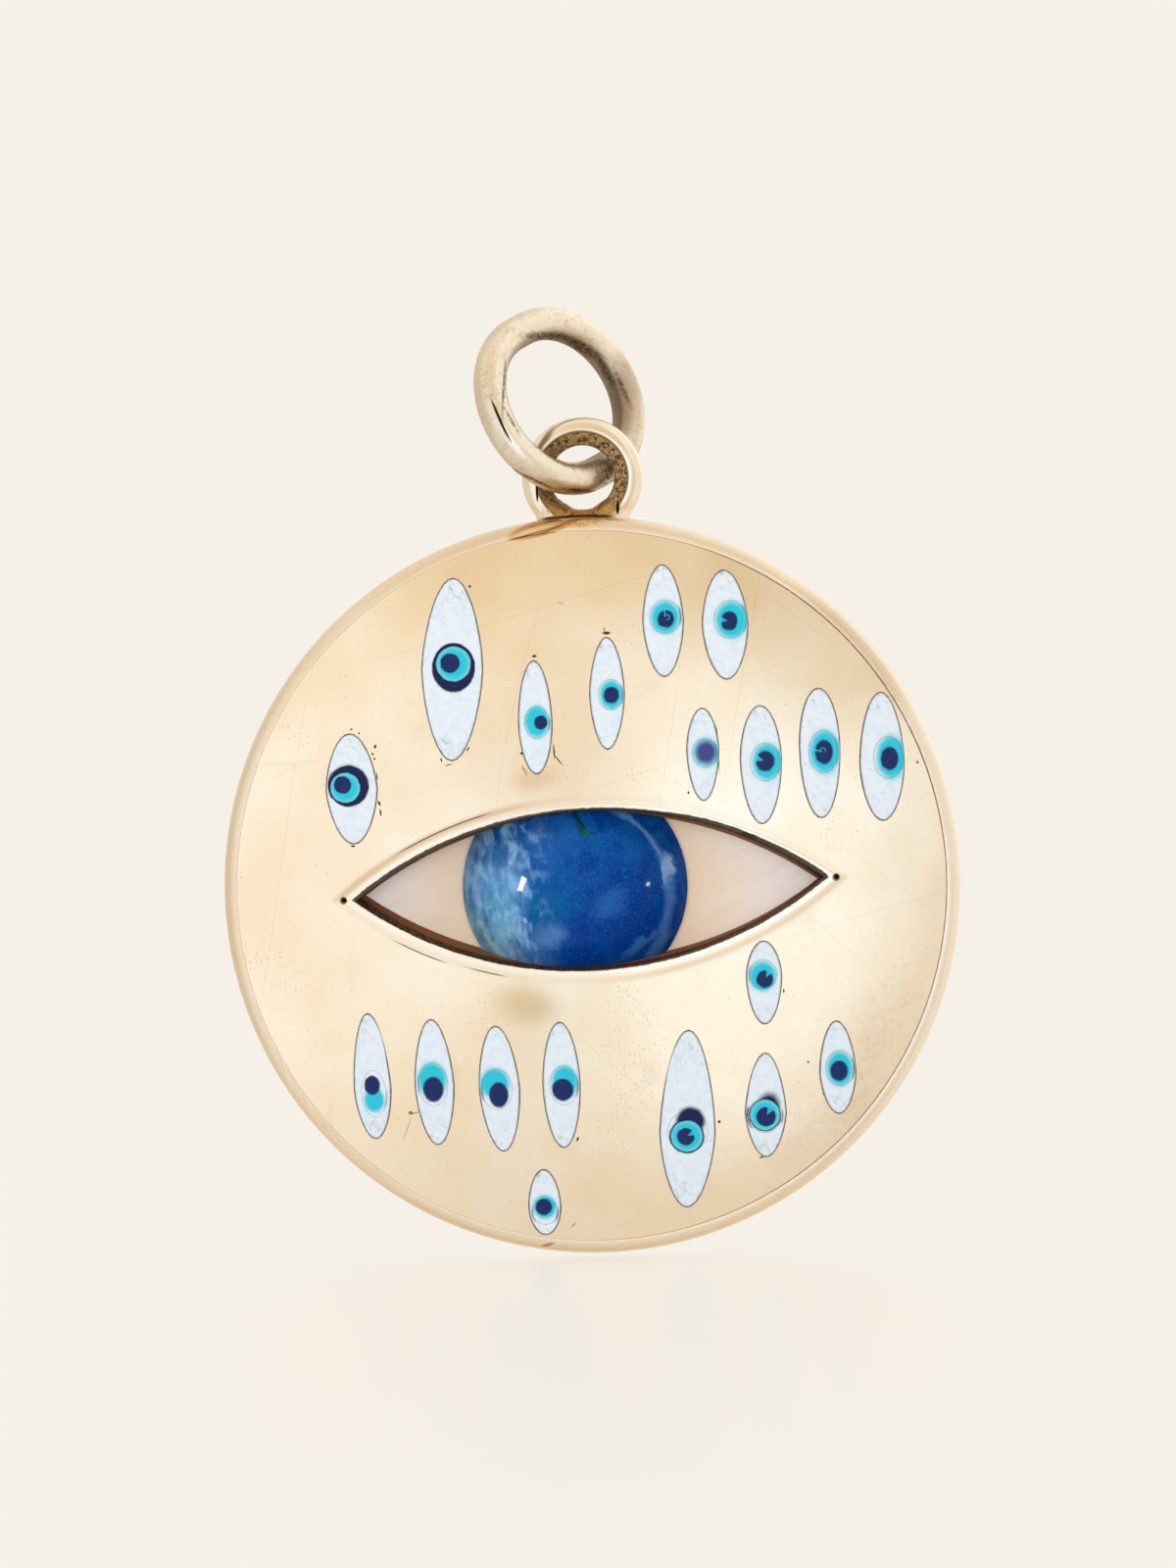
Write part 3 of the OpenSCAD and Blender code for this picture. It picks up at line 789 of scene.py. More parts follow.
        # It starts a little lower on the rim's roll than the other layers of the front
        front = coat.add("MapRange", at.axes.outputs["Z"], 0.1, 0.3)
        leaf = (
            Mark((-1.5, 14.66), (1.55, 0.34), 15.5, gold.solder, 0.85, 0.14, 0.3),
            # A painted highlight runs along the leaf, and painted shade lies under its lower edge
            Mark((-1.75, 14.6), (1.1, 0.1), 15.5, gold.metal, 0.8, 0.5, 0.22),
            Mark((-2.2, 14.33), (0.75, 0.035), 15.0, gold.umber, 0.8, 0.5, gold.dull),
            Mark((-1.2, 14.56), (0.6, 0.05), 20.0, gold.umber, 0.8, 0.5, gold.dull),
        )
        coat.mark(at.drawn, leaf, front)

    def soil_seam(self, coat: Coat, at: CaseSurvey) -> None:
        """Lay on the black line between the bail and the disc, and the dirt at the bail's feet.

        Args:
            coat: The finish that is being made.
            at: What was measured on the case.
        """
        seam = coat.band(at.reach, self.outline + 0.04, 0.09, 0.03)
        across = coat.band(at.axes.outputs["X"], -0.2, 1.6, 1.2)
        above = coat.add("MapRange", at.axes.outputs["Y"], 13.5, 14.0)
        self.blacken(coat, seam, across, above, 0.9)
        for middle, half, lean in (
            ((-1.84, 16.03), (0.05, 0.36), 2.0),
            ((1.44, 15.34), (0.07, 0.26), -3.0),
        ):
            self.blacken(coat, coat.spot(at.drawn, middle, half, lean, 0.2), at.bail)

    def build(self) -> None:
        """Make the gold of the case, clean first and then layer by layer of dirt and of painted light and
        shade, and lay it on.
        """
        coat = Coat("hand_polished_gold", self.gold.metal, self.gold.polish, 1.0)
        drawn = coat.measured(self.layout.disc, self.layout.facing)
        self.polish(coat, drawn)
        at = self.survey(coat, drawn)
        self.wear_and_shade_rim(coat, at)
        self.shade_lip(coat, at)
        self.darken_window(coat, at)
        self.scribe(coat, at)
        self.darken_cells(coat, at)
        coat.mark(drawn, self.marks, at.front)
        self.age_and_light_bail(coat, at)
        self.run_solder(coat, at)
        self.soil_seam(coat, at)
        dress("case", coat.finish(Specular_IOR_Level=0.1))


@dataclass(frozen=True)
class SatinGold:
    """Round gold wire, drawn and annealed, with a soft satin wear and brown tarnish.

    The eye sees a greyer, more matt gold than the polished case, with a painted highlight streak
    along its lower run, browner sides that are painted shade, and dark tarnish on the inside, where
    the chain and the bail never rub.
    """

    metal: str = "#FFF3DF"
    # For the painted highlights along the lower run
    bright: str = "#FFF5E2"
    # Tarnish, and also painted shade on the wire's outer side
    tarnish_and_shade: str = "#B39A76"
    # For painted shade on the wire's inner side and its right side
    brown: str = "#8A683F"
    patina: str = "#664A2B"
    dark: str = "#2E2118"
    amber: str = "#C08A4A"
    satin: float = 0.34


@dataclass
class JumpRing:
    """The oval ring of round wire that the chain runs through."""

    layout: Layout
    gold: SatinGold = field(default_factory=SatinGold)
    ring_radius: float = 3.28
    straight: float = 0.6
    turn: float = 118.4
    tilt: float = 46.0

    def reach(self, coat: Coat, drawn: Feed) -> Feed:
        """Measure how far a place is from the short straight middle of the oval.

        Args:
            coat: The finish that is being made.
            drawn: The place round the ring's middle.
        Returns:
            A node with the distance, in the ring's own plane.
        """
        add = coat.add
        lie = (math.radians(self.tilt), 0.0, math.radians(self.turn))
        local = add("Mapping", drawn, (0.0, 0.0, 0.0), lie, (1.0, 1.0, 1.0), vector_type="TEXTURE")
        axes = add("SeparateXYZ", local)
        beyond = add("Math", axes.outputs["Y"], operation="ABSOLUTE")
        beyond = add("Math", beyond, self.straight / 2, operation="SUBTRACT")
        beyond = add("Math", beyond, 0.0, operation="MAXIMUM")
        return add("VectorMath", add("CombineXYZ", axes.outputs["X"], beyond), operation="LENGTH")

    def tarnish_and_shade(self, coat: Coat, drawn: Feed, reach: Feed, grain: Feed) -> None:
        """Lay on the tarnish, the browner sides of the wire, which are painted shade, and the painted
        highlights along its lower run.

        Args:
            coat: The finish that is being made.
            drawn: The place round the ring's middle.
            reach: The distance from the oval's middle.
            grain: The grain of the gold.
        """
        add, gold, radius = coat.add, self.gold, self.ring_radius
        smudge = add("TexNoise", drawn, 1 / 0.5, 5.0, 0.65, inputs={"Distortion": 0.5})
        coat.lay(add("MapRange", grain, 0.48, 0.72, 0.0, 0.4, **SMOOTH), gold.tarnish_and_shade, 0.42)
        coat.lay(add("MapRange", smudge, 0.52, 0.72, 0.0, 0.4, **SMOOTH), gold.tarnish_and_shade, 0.38)
        # The wire's outer and inner sides are painted browner than its crown, as shade
        outer = add("MapRange", reach, radius + 0.3, radius + 0.66, 0.0, 0.3, **SMOOTH)
        coat.lay(outer, gold.tarnish_and_shade, 0.42)
        inner = add("MapRange", reach, radius - 0.2, radius - 0.6, 0.0, 0.5, **SMOOTH)
        coat.lay(inner, gold.brown, 0.42)
        coat.lift(grain, 0.006)
        coat.lift(smudge, 0.03)
        # The right side is painted browner as shade, the lowest bend is amber and the lower run has
        # painted highlights
        wear_and_light = (
            Mark((2.7, 0.1), (0.6, 1.9), 0.0, gold.brown, 0.5, 0.7, 0.42),
            Mark((0.4, -3.55), (1.5, 0.2), -14.0, gold.amber, 0.75, 0.7, 0.42),
            Mark((-1.5, -1.7), (1.15, 0.26), -52.0, gold.bright, 0.9, 0.7, 0.22),
            Mark((0.05, -2.62), (1.4, 0.3), -22.0, gold.bright, 0.9, 0.7, 0.22),
        )
        coat.mark(drawn, wear_and_light)

    def age(self, coat: Coat, drawn: Feed, reach: Feed, grain: Feed) -> None:
        """Lay on the old patina, which clings to the inside, where nothing rubs.

        Args:
            coat: The finish that is being made.
            drawn: The place round the ring's middle.
            reach: The distance from the oval's middle.
            grain: The grain of the gold.
        """
        add, gold, radius = coat.add, self.gold, self.ring_radius
        edge = add("Math", grain, 0.5, reach, operation="MULTIPLY_ADD")
        inside = add("MapRange", edge, radius - 0.1, radius - 0.32, **SMOOTH)
        upper = coat.spot(drawn, (1.05, 1.25), (2.2, 1.75), -42.0, 0.35)
        coat.lay(coat.overlap(inside, upper, 0.2), gold.patina, 0.5)
        patina = (
            Mark((-0.6, 2.66), (0.75, 0.16), -2.0, gold.patina, 0.9, 0.6, 0.5),
            Mark((0.85, 2.2), (1.05, 0.22), -30.0, gold.patina, 0.9, 0.6, 0.5),
            Mark((1.85, 1.15), (0.7, 0.17), -62.0, gold.patina, 0.9, 0.6, 0.5),
            Mark((2.5, 0.5), (0.75, 0.1), -68.0, gold.patina, 0.9, 0.6, 0.5),
        )
        coat.mark(drawn, patina, add("MapRange", grain, 0.34, 0.54, **SMOOTH))
        rim = add("MapRange", reach, radius - 0.52, radius - 0.62, **SMOOTH)
        coat.lay(coat.overlap(rim, 0.45), gold.dark, 0.5)

    def streak(self, coat: Coat, drawn: Feed, grain: Feed) -> None:
        """Lay on the thin dark lines, the dark tip and the two cuts at the left.

        Args:
            coat: The finish that is being made.
            drawn: The place round the ring's middle.
            grain: The grain of the gold.
        """
        gold = self.gold
        # Thin dark lines run along the inner left side and under the lower run
        lines = (
            Mark((-2.14, 0.6), (0.05, 1.15), -3.0, gold.dark, 0.75, 0.6, 0.5),
            Mark((-1.84, -0.75), (0.05, 0.6), 28.0, gold.dark, 0.75, 0.6, 0.5),
            Mark((-1.2, -3.08), (1.3, 0.06), -27.0, gold.dark, 0.75, 0.6, 0.5),
            Mark((0.9, -3.68), (0.9, 0.07), -8.0, gold.dark, 0.75, 0.6, 0.5),
        )
        coat.mark(drawn, lines, coat.add("MapRange", grain, 0.36, 0.5, **SMOOTH))
        tip = Mark((1.84, -3.1), (0.5, 0.6), 0.0, gold.dark, 0.7, 0.5, 0.5)
        coat.mark(drawn, (tip,), coat.add("MapRange", grain, 0.4, 0.6, **SMOOTH))
        for middle, half, lean in (
            ((-2.34, -0.6), (0.05, 0.8), 22.0),
            ((-2.12, -1.1), (0.03, 0.55), 26.0),
        ):
            cut = coat.spot(drawn, middle, half, lean, 0.35)
            coat.lay(cut, gold.dark, 0.5)
            coat.lift(cut, -0.04)

    def build(self) -> None:
        """Make the gold of the ring and lay it on."""
        coat = Coat("satin_worn_gold", self.gold.metal, self.gold.satin, 1.0)
        drawn = coat.measured(self.layout.ring, self.layout.facing)
        reach = self.reach(coat, drawn)
        # The grain of the annealed wire is 0.14 mm, and smudges of half a millimetre lie over it
        grain = coat.add("TexNoise", drawn, 1 / 0.14, 4.0, 0.75)
        self.tarnish_and_shade(coat, drawn, reach, grain)
        self.age(coat, drawn, reach, grain)
        self.streak(coat, drawn, grain)
        dress("jump_ring", coat.finish())


@dataclass(frozen=True)
class ShellPlate:
    """A plate of pale shell, ground flat and rubbed to a low shine.

    The eye sees a warm pinkish white, faint growth layers that run across it, and a browner tone
    beside the stone, which is painted shade.
    """

    pale: str = "#F6ECE6"
    # For the painted shade beside the stone
    warm: str = "#E4C7A2"
    layer: str = "#E9D8C5"
    grime: str = "#A98767"


@dataclass(frozen=True)
class BlueStone:
    """A cabochon of deep blue stone with clouded pale veins, highly polished.

    The eye sees a saturated blue that turns milky in patches, mostly towards the left edge, with
    small hard highlights on the dome, pale crescents along its edge that are painted reflections,
    and one soft painted highlight near the right edge.
    """

    deep: str = "#003A8A"
    blue: str = "#08529A"
    milky: str = "#5A8FC2"
    veil: str = "#94C2E6"
    teal: str = "#1A5F94"
    clouds_and_highlight: tuple[Mark, ...] = (
        Mark((1.6, -1.2), (2.6, 2.4), 20, "#00307F", 0.8, 0.7),
        Mark((-1.3, -0.6), (1.4, 1.1), 0, "#005A94", 0.6, 0.7),
        Mark((-1.2, 1.7), (1.5, 0.9), 10, "#1B559C", 0.7, 0.7),
        Mark((-3.1, 0.1), (1.0, 1.3), 12, "#6BA2D6", 0.78, 0.7),
        Mark((-3.15, -0.9), (0.9, 0.8), 0, "#4C93B8", 0.7, 0.7),
        Mark((-2.9, -2.2), (0.6, 0.9), 32, "#8FC0D8", 0.75, 0.7),
        Mark((-2.1, -2.9), (1.1, 0.5), -20, "#5C86BE", 0.6, 0.7),
        Mark((-1.1, -2.0), (0.7, 0.5), 20, "#6C98CC", 0.4, 0.7),
        # A painted highlight: a soft pale glow near the right edge
        Mark((3.8, 0.6), (0.15, 0.5), -4, "#B9D2F0", 0.75, 0.7),
        Mark((1.45, -0.7), (0.62, 0.5), 40, "#2A62A8", 0.6, 0.7),
        Mark((2.7, -2.35), (0.9, 0.14), 38, "#3F74BC", 0.6, 0.7),
        Mark((0.35, 2.45), (0.2, 0.62), 30, "#06414D", 0.95, 0.5),
        Mark((0.62, 2.15), (0.22, 0.3), 30, "#0E5A55", 0.7, 0.6),
        Mark((0.22, 2.75), (0.07, 0.4), 20, "#021F33", 0.8, 0.6),
    )


@dataclass
class GreatEye:
    """The pale plate and the blue stone behind the window."""

    layout: Layout
    shell: ShellPlate = field(default_factory=ShellPlate)
    stone: BlueStone = field(default_factory=BlueStone)
    stone_radius: float = 4.58

    def build_plate(self) -> None:
        """Make the shell of the plate and lay it on."""
        shell = self.shell
        coat = Coat("rubbed_shell", shell.pale, 0.38)
        add = coat.add
        drawn = coat.measured(self.layout.stone, self.layout.facing)
        # Growth layers about 0.8 mm apart
        lie = ((0.0, 0.0, 0.0), (0.0, 0.0, 0.5), (5.0, 0.8, 2.0))
        layers = add("Mapping", drawn, *lie, vector_type="TEXTURE")
        bands = add("TexNoise", layers, 1.0, 3.0, 0.6, inputs={"Distortion": 0.4})
        coat.lay(add("MapRange", bands, 0.4, 0.7, 0.0, 0.55, **SMOOTH), shell.layer)
        # Painted shade makes the plate browner close to the stone
        shade_reach = self.stone_radius + 3.6
        close = add("MapRange", coat.reach(drawn), shade_reach, self.stone_radius, 0.0, 0.75, **SMOOTH)
        coat.lay(close, shell.warm)
        specks = coat.pits(drawn, 0.5, 0.03, 0.3)
        coat.lay(coat.overlap(specks, 0.4), shell.grime)
        coat.lift(add("TexNoise", drawn, 1 / 0.3, 3.0), 0.002)
        dress("eye_white", coat.finish(Specular_IOR_Level=0.4, Coat_Weight=0.15, Coat_Roughness=0.3))

    def build_stone(self) -> None:
        """Make the stone's clouded blue and lay it on."""
        stone = self.stone
        coat = Coat("polished_blue_stone", stone.blue, 0.07)
        add = coat.add
        drawn = coat.measured(self.layout.stone, self.layout.facing)
        swirl = add("TexNoise", drawn, 1 / 0.9, 4.0, 0.6, inputs={"Distortion": 0.6})
        shift = add("VectorMath", swirl.outputs["Color"], (0.5, 0.5, 0.5), operation="SUBTRACT")
        stirred = add("VectorMath", shift, (1.1, 1.1, 1.1), drawn, operation="MULTIPLY_ADD")
        coat.lay(add("MapRange", swirl, 0.4, 0.62, **SMOOTH), stone.deep)
        coat.mark(stirred, stone.clouds_and_highlight)
        self.edge_arcs(coat, drawn, stirred)
        # Pale veils fold over each other in the left third
        lie = ((0.0, 0.0, 0.0), (0.0, 0.0, 0.2), (0.5, 0.9, 0.9))
        tall = add("Mapping", drawn, *lie, vector_type="TEXTURE")
        veil = add("TexNoise", tall, 1.0, 3.0, 0.52, inputs={"Distortion": 0.3})
        left = add("MapRange", add("SeparateXYZ", stirred).outputs["X"], -0.5, -2.4, 0.0, 0.8, **SMOOTH)
        coat.lay(coat.overlap(add("MapRange", veil, 0.44, 0.74, **SMOOTH), left), stone.veil)
        coat.lay(coat.overlap(add("MapRange", veil, 0.48, 0.3, **SMOOTH), left, 0.7), stone.teal)
        # Crystals of about a tenth of a millimetre make it faintly grainy
        grain = add("TexNoise", drawn, 1 / 0.11, 3.0, 0.7)
        coat.lay(add("MapRange", grain, 0.5, 0.8, 0.0, 0.24, **SMOOTH), stone.milky)
        coat.lay(add("MapRange", grain, 0.48, 0.25, 0.0, 0.4, **SMOOTH), stone.deep)
        dress("iris_stone", coat.finish(Specular_IOR_Level=0.06))

    def edge_arcs(self, coat: Coat, drawn: Feed, stirred: Feed) -> None:
        """Lay on the pale crescents that follow the stone's edge on both sides: painted reflections.

        Args:
            coat: The finish that is being made.
            drawn: The place round the stone's middle.
            stirred: The same place, shifted about by noise.
        """
        add = coat.add
        small = add("Mix", 0.5, drawn, stirred, data_type="VECTOR")
        for centre, radius, width, turn, spread, colour, strength in (
            ((-0.3, -0.4), 4.2, 0.36, -8.0, 38.0, "#5C8CD2", 0.5),
            ((0.3, -0.2), 3.55, 0.16, 42.0, 26.0, "#5C8CC4", 0.8),
            ((0.0, 0.0), 4.45, 0.3, 186.0, 50.0, "#7FB3CE", 0.8),
            ((0.1, 0.0), 4.2, 0.3, 214.0, 20.0, "#9FCFCF", 0.8),
            ((0.0, 0.0), 4.5, 0.35, 150.0, 22.0, "#5E83BE", 0.6),
        ):
            off = add("VectorMath", small, (*centre, 0.0), operation="SUBTRACT")
            off = add("VectorMath", off, (1.0, 1.0, 0.0), operation="MULTIPLY")
            arc = coat.band(add("VectorMath", off, operation="LENGTH"), radius, width)
            aim = (math.cos(math.radians(turn)), math.sin(math.radians(turn)), 0.0)
            unit = add("VectorMath", off, operation="NORMALIZE")
            along = add("VectorMath", unit, aim, operation="DOT_PRODUCT")
            ends = (math.cos(math.radians(spread * 1.25)), math.cos(math.radians(spread * 0.6)))
            coat.lay(coat.overlap(arc, add("MapRange", along, *ends, **SMOOTH), strength), colour)

    def build(self) -> None:
        """Dress the plate and the stone."""
        self.build_plate()
        self.build_stone()


class Nick(Enum):
    """What is missing from the dark middle of a dot."""

    NONE = "none"
    WEDGE = "wedge"
    CURL = "curl"


@dataclass(frozen=True)
class Dot:
    """How one dot was fired: places and half sizes in millimetres from its solid's middle."""

    blue: tuple[float, float]
    blue_half: tuple[float, float]
    dark: tuple[float, float]
    dark_half: tuple[float, float]
    soft: float = 0.24
    nick: Nick = Nick.NONE
    nick_turn: float = 0.0
    ring: tuple[float, float] | None = None
    ring_half: tuple[float, float] = (0.0, 0.0)
    ring_soft: float = 0.04
    outline: float = 0.0
    strength: float = 1.0

    @property
    def crisp(self) -> bool:
        """Tell whether the dot was set last, so that its blue didn't bleed."""
        return self.soft <= 0.1


@dataclass(frozen=True)
class FiredEnamel:
    """Glass enamel, packed wet into the cells, fired and ground flush with the gold.

    The eye sees an opaque cool white with a low gloss, grey where it is thin at the tips, small
    burst bubbles, dots whose colours bled into the white except where they were set last, and a
    brown painted shade along the gap at each cell's edge.
    """

    white: str = "#E7F2FF"
    cool: str = "#DCEBFD"
    thin: str = "#9FAAA8"
    # Brown for the painted shade in the gap at the cells' edges
    wall: str = "#6E4A2E"
    soot: str = "#2A1E1A"
    turquoise: str = "#2CC8E4"
    halo: str = "#8CD9E8"
    navy: str = "#1B2D68"
    slate: str = "#181F4C"
    violet: str = "#45488C"
    gloss: float = 0.22


@dataclass
class SmallEyes:
    """The nineteen small eyes: a white field and a coloured dot in each cell."""

    layout: Layout
    enamel: FiredEnamel = field(default_factory=FiredEnamel)
    dots: tuple[Dot, ...] = (
        Dot(
            (0.01, 0.17), (0.7, 0.7), (-0.13, 0.21), (0.4, 0.4), 0.04,
            ring=(0.01, 0.03), ring_half=(0.88, 1.0),
        ),
        Dot((0.01, -0.03), (0.56, 0.64), (0.03, -0.09), (0.34, 0.36), nick=Nick.CURL, nick_turn=100),
        Dot((0.06, -0.02), (0.62, 0.72), (-0.03, -0.06), (0.34, 0.4), nick=Nick.WEDGE, nick_turn=172),
        Dot((0.0, 0.04), (0.46, 0.62), (0.16, 0.0), (0.28, 0.28)),
        Dot((0.04, -0.01), (0.44, 0.56), (0.04, -0.02), (0.32, 0.34)),
        Dot(
            (-0.15, -0.1), (0.6, 0.6), (-0.26, 0.02), (0.36, 0.36), 0.05,
            ring=(-0.02, -0.02), ring_half=(0.84, 0.84),
        ),
        Dot((0.05, 0.03), (0.52, 0.58), (0.05, 0.03), (0.42, 0.46), 0.3, strength=0.6),
        Dot((0.08, 0.01), (0.56, 0.72), (0.01, 0.04), (0.38, 0.42), nick=Nick.WEDGE, nick_turn=160),
        Dot((0.06, -0.01), (0.58, 0.84), (0.03, -0.02), (0.36, 0.5), nick=Nick.CURL, nick_turn=165),
        Dot((0.13, 0.01), (0.56, 0.84), (0.06, -0.04), (0.36, 0.48)),
        Dot((-0.02, -0.08), (0.52, 0.58), (0.06, -0.2), (0.34, 0.36), nick=Nick.WEDGE, nick_turn=58),
        Dot((0.01, -0.26), (0.4, 0.48), (-0.06, 0.34), (0.32, 0.4)),
        Dot((-0.03, 0.19), (0.56, 0.68), (0.0, -0.21), (0.42, 0.52)),
        Dot((-0.08, 0.24), (0.56, 0.6), (0.06, -0.23), (0.4, 0.52)),
        Dot((0.05, 0.14), (0.5, 0.64), (-0.04, -0.18), (0.44, 0.46)),
        Dot(
            (-0.05, -0.21), (0.64, 0.64), (-0.09, -0.22), (0.36, 0.36), 0.05, Nick.WEDGE, 25,
            (0.12, 0.4), (0.58, 0.6), 0.2, 0.07,
        ),
        Dot(
            (0.01, 0.0), (0.6, 0.62), (0.05, -0.07), (0.4, 0.4), 0.05, Nick.WEDGE, 60,
            (0.2, 0.46), (0.4, 0.44), 0.45, 0.06,
        ),
        Dot((0.0, -0.02), (0.5, 0.68), (-0.03, -0.1), (0.36, 0.42)),
        Dot((0.0, 0.19), (0.46, 0.46), (-0.05, 0.19), (0.34, 0.34)),
    )

    def fire_white(self, coat: Coat, drawn: Feed, field_at: Feed) -> None:
        """Lay on the white, grey and scratched towards the tips of the field.

        Args:
            coat: The finish that is being made.
            drawn: The place in millimetres round the dot's middle.
            field_at: The place as a share of the white field, -1 to 1 across and up.
        """
        enamel = self.enamel
        add = coat.add
        # Grains of the ground glass, a third of a millimetre once fired
        grain = add("TexNoise", drawn, 1 / 0.34, 4.0, 0.65)
        coat.lay(add("MapRange", grain, 0.42, 0.66, **SMOOTH), enamel.cool)
        tips = add("Math", add("SeparateXYZ", field_at).outputs["Y"], operation="ABSOLUTE")
        tips = add("MapRange", tips, 0.45, 0.95, **SMOOTH)
        lie = ((0.0, 0.0, 0.0), (0.0, 0.0, 0.5), (0.2, 0.42, 1.0))
        wear_and_light = add("Mapping", drawn, *lie, vector_type="TEXTURE")
        wear_and_light = add("TexNoise", wear_and_light, 1.0, 6.0, 0.75, inputs={"Distortion": 0.7})
        coat.lay(coat.overlap(add("MapRange", wear_and_light, 0.5, 0.68, **SMOOTH), tips, 0.75), enamel.thin, 0.34)
        bubbles = coat.pits(drawn, 0.42, 0.035, 0.25)
        coat.lay(coat.overlap(bubbles, 0.5), enamel.thin, 0.5)
        coat.lift(bubbles, -0.006)
        coat.lift(grain, 0.004)

    def fire_dot(self, coat: Coat, drawn: Feed, dot: Dot) -> None:
        """Lay on one dot: its outer ring, its turquoise and its dark middle.

        Args:
            coat: The finish that is being made.
            drawn: The place in millimetres round the dot's middle.
            dot: How the dot was fired.
        """
        enamel = self.enamel
        add = coat.add
        ripple = add("TexNoise", drawn, 1 / 0.2, 2.0, 0.5)
        shift = add("VectorMath", ripple.outputs["Color"], (0.5, 0.5, 0.5), operation="SUBTRACT")
        bled = add("VectorMath", shift, (0.07, 0.07, 0.0), drawn, operation="MULTIPLY_ADD")
        if dot.ring is not None:
            coat.lay(coat.spot(bled, dot.ring, dot.ring_half, 0.0, dot.ring_soft), enamel.slate)
        if dot.outline:
            edge = tuple(half + dot.outline for half in dot.blue_half)
            coat.lay(coat.spot(bled, dot.blue, edge, 0.0, 0.05), enamel.slate)
        if not dot.crisp:
            halo = tuple(half * 1.07 for half in dot.blue_half)
            coat.lay(coat.overlap(coat.spot(bled, dot.blue, halo, 0.0, 0.34), 0.7), enamel.halo)
        body = coat.spot(bled, dot.blue, dot.blue_half, 0.0, dot.soft)
        coat.lay(coat.overlap(body, dot.strength), enamel.turquoise)
        if dot.crisp:
            lit = tuple(half * 0.82 for half in dot.blue_half)
            ring = add("Math", body, coat.spot(drawn, dot.blue, lit, 0.0, 0.12), operation="SUBTRACT")
            coat.lay(coat.overlap(ring, 0.45), enamel.halo)
        edge = 0.08 if dot.crisp else 0.13 / dot.strength ** 2
        pupil = coat.spot(bled, dot.dark, dot.dark_half, 0.0, edge)
        if dot.nick is not Nick.NONE:
            pupil = self.cut_nick(coat, drawn, dot, pupil)
        coat.lay(pupil, enamel.navy if dot.strength == 1.0 else enamel.violet)
        core = add("MapRange", ripple, 0.45, 0.65, **SMOOTH)
        coat.lay(coat.overlap(pupil, core, 0.35 * dot.strength ** 3), enamel.slate)

    def cut_nick(self, coat: Coat, drawn: Feed, dot: Dot, pupil: Feed) -> Feed:
        """Leave a nick in the dark middle of a dot.

        Args:
            coat: The finish that is being made.
            drawn: The place in millimetres round the dot's middle.
            dot: How the dot was fired.
            pupil: The mask of the whole dark middle.
        Returns:
            The mask without the nick.
        """
        add = coat.add
        turn = (0.0, 0.0, math.radians(dot.nick_turn))
        at = add("Mapping", drawn, (*dot.dark, 0.0), turn, (1.0, 1.0, 1.0), vector_type="TEXTURE")
        axes = add("SeparateXYZ", at)
        beside = add("Math", axes.outputs["Y"], operation="ABSOLUTE")
        opening = add("Math", axes.outputs["X"], 0.45, operation="MULTIPLY")
        wedge = add("Math", opening, beside, operation="SUBTRACT")
        gap = add("MapRange", wedge, 0.02, 0.06, **SMOOTH)
        if dot.nick is Nick.CURL:
            narrow = add("MapRange", beside, 0.05, 0.02, **SMOOTH)
            outward = add("MapRange", axes.outputs["X"], 0.06, 0.14, **SMOOTH)
            gap = coat.overlap(narrow, outward)
            curl = coat.band(coat.reach(at, (0.06, -0.06)), 0.1, 0.035, 0.01)
            hook = add("MapRange", axes.outputs["Y"], 0.0, -0.05, **SMOOTH)
            gap = add("Math", gap, coat.overlap(curl, hook), operation="MAXIMUM")
        share = 0.62 if dot.nick is Nick.CURL else 0.8
        gap = add("Math", gap, share, operation="MULTIPLY")
        return add("Math", pupil, gap, operation="SUBTRACT", use_clamp=True)

    def build_eye(self, number: int, dot: Dot) -> None:
        """Make the enamel of one eye and lay it on its field and its dot.

        Args:
            number: The eye's number.
            dot: How its dot was fired.
        """
        enamel = self.enamel
        white, iris = f"enamel_white_{number:02d}", f"enamel_iris_{number:02d}"
        coat = Coat(f"fired_enamel_{number:02d}", enamel.white, enamel.gloss)
        add = coat.add
        low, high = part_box(iris)
        drawn = coat.measured((low + high) / 2, self.layout.facing)
        low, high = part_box(white)
        here = add("TexCoord").outputs["Object"]
        half = (high - low) / 2
        field_at = add(
            "Mapping", here, tuple((low + high) / 2), tuple(self.layout.facing), (half.x, half.z, half.y),
            vector_type="TEXTURE",
        )
        self.fire_white(coat, drawn, field_at)
        # Painted shade browns the field along its edge, in the gap to the gold
        rim = coat.spot(field_at, (0.0, 0.0), (0.8, 0.9), 0.0, 0.05)
        rim = add("Math", 1.0, rim, operation="SUBTRACT")
        edges = coat.overlap(coat.edges(0.13), rim)
        coat.lay(coat.overlap(edges, 0.95), enamel.wall, 0.5)
        # Black dirt sits in the line here and there
        broken = add("TexNoise", drawn, 1 / 0.3, 4.0, 0.7)
        broken = add("MapRange", broken, 0.48, 0.58, **SMOOTH)
        coat.lay(coat.overlap(edges, broken, 0.85), enamel.soot, 0.6)
        self.fire_dot(coat, drawn, dot)
        # Painted shade browns the enamel's sides in the gap
        normal = add("SeparateXYZ", add("TexCoord").outputs["Normal"]).outputs["Y"]
        sides = add("MapRange", add("Math", normal, operation="ABSOLUTE"), *STEEP)
        coat.lay(coat.overlap(sides, rim), enamel.wall, 0.6)
        material = coat.finish(Specular_IOR_Level=0.15)
        dress(white, material)
        dress(iris, material)

    def build(self) -> None:
        """Dress the nineteen eyes."""
        for number, dot in enumerate(self.dots, 1):
            self.build_eye(number, dot)


@dataclass(frozen=True)
class Glow:
    """One soft patch of the light tent, with its direction and radii in degrees."""

    turn: float
    lift: float
    inner: float
    outer: float
    colour: str
    strength: float = 1.0


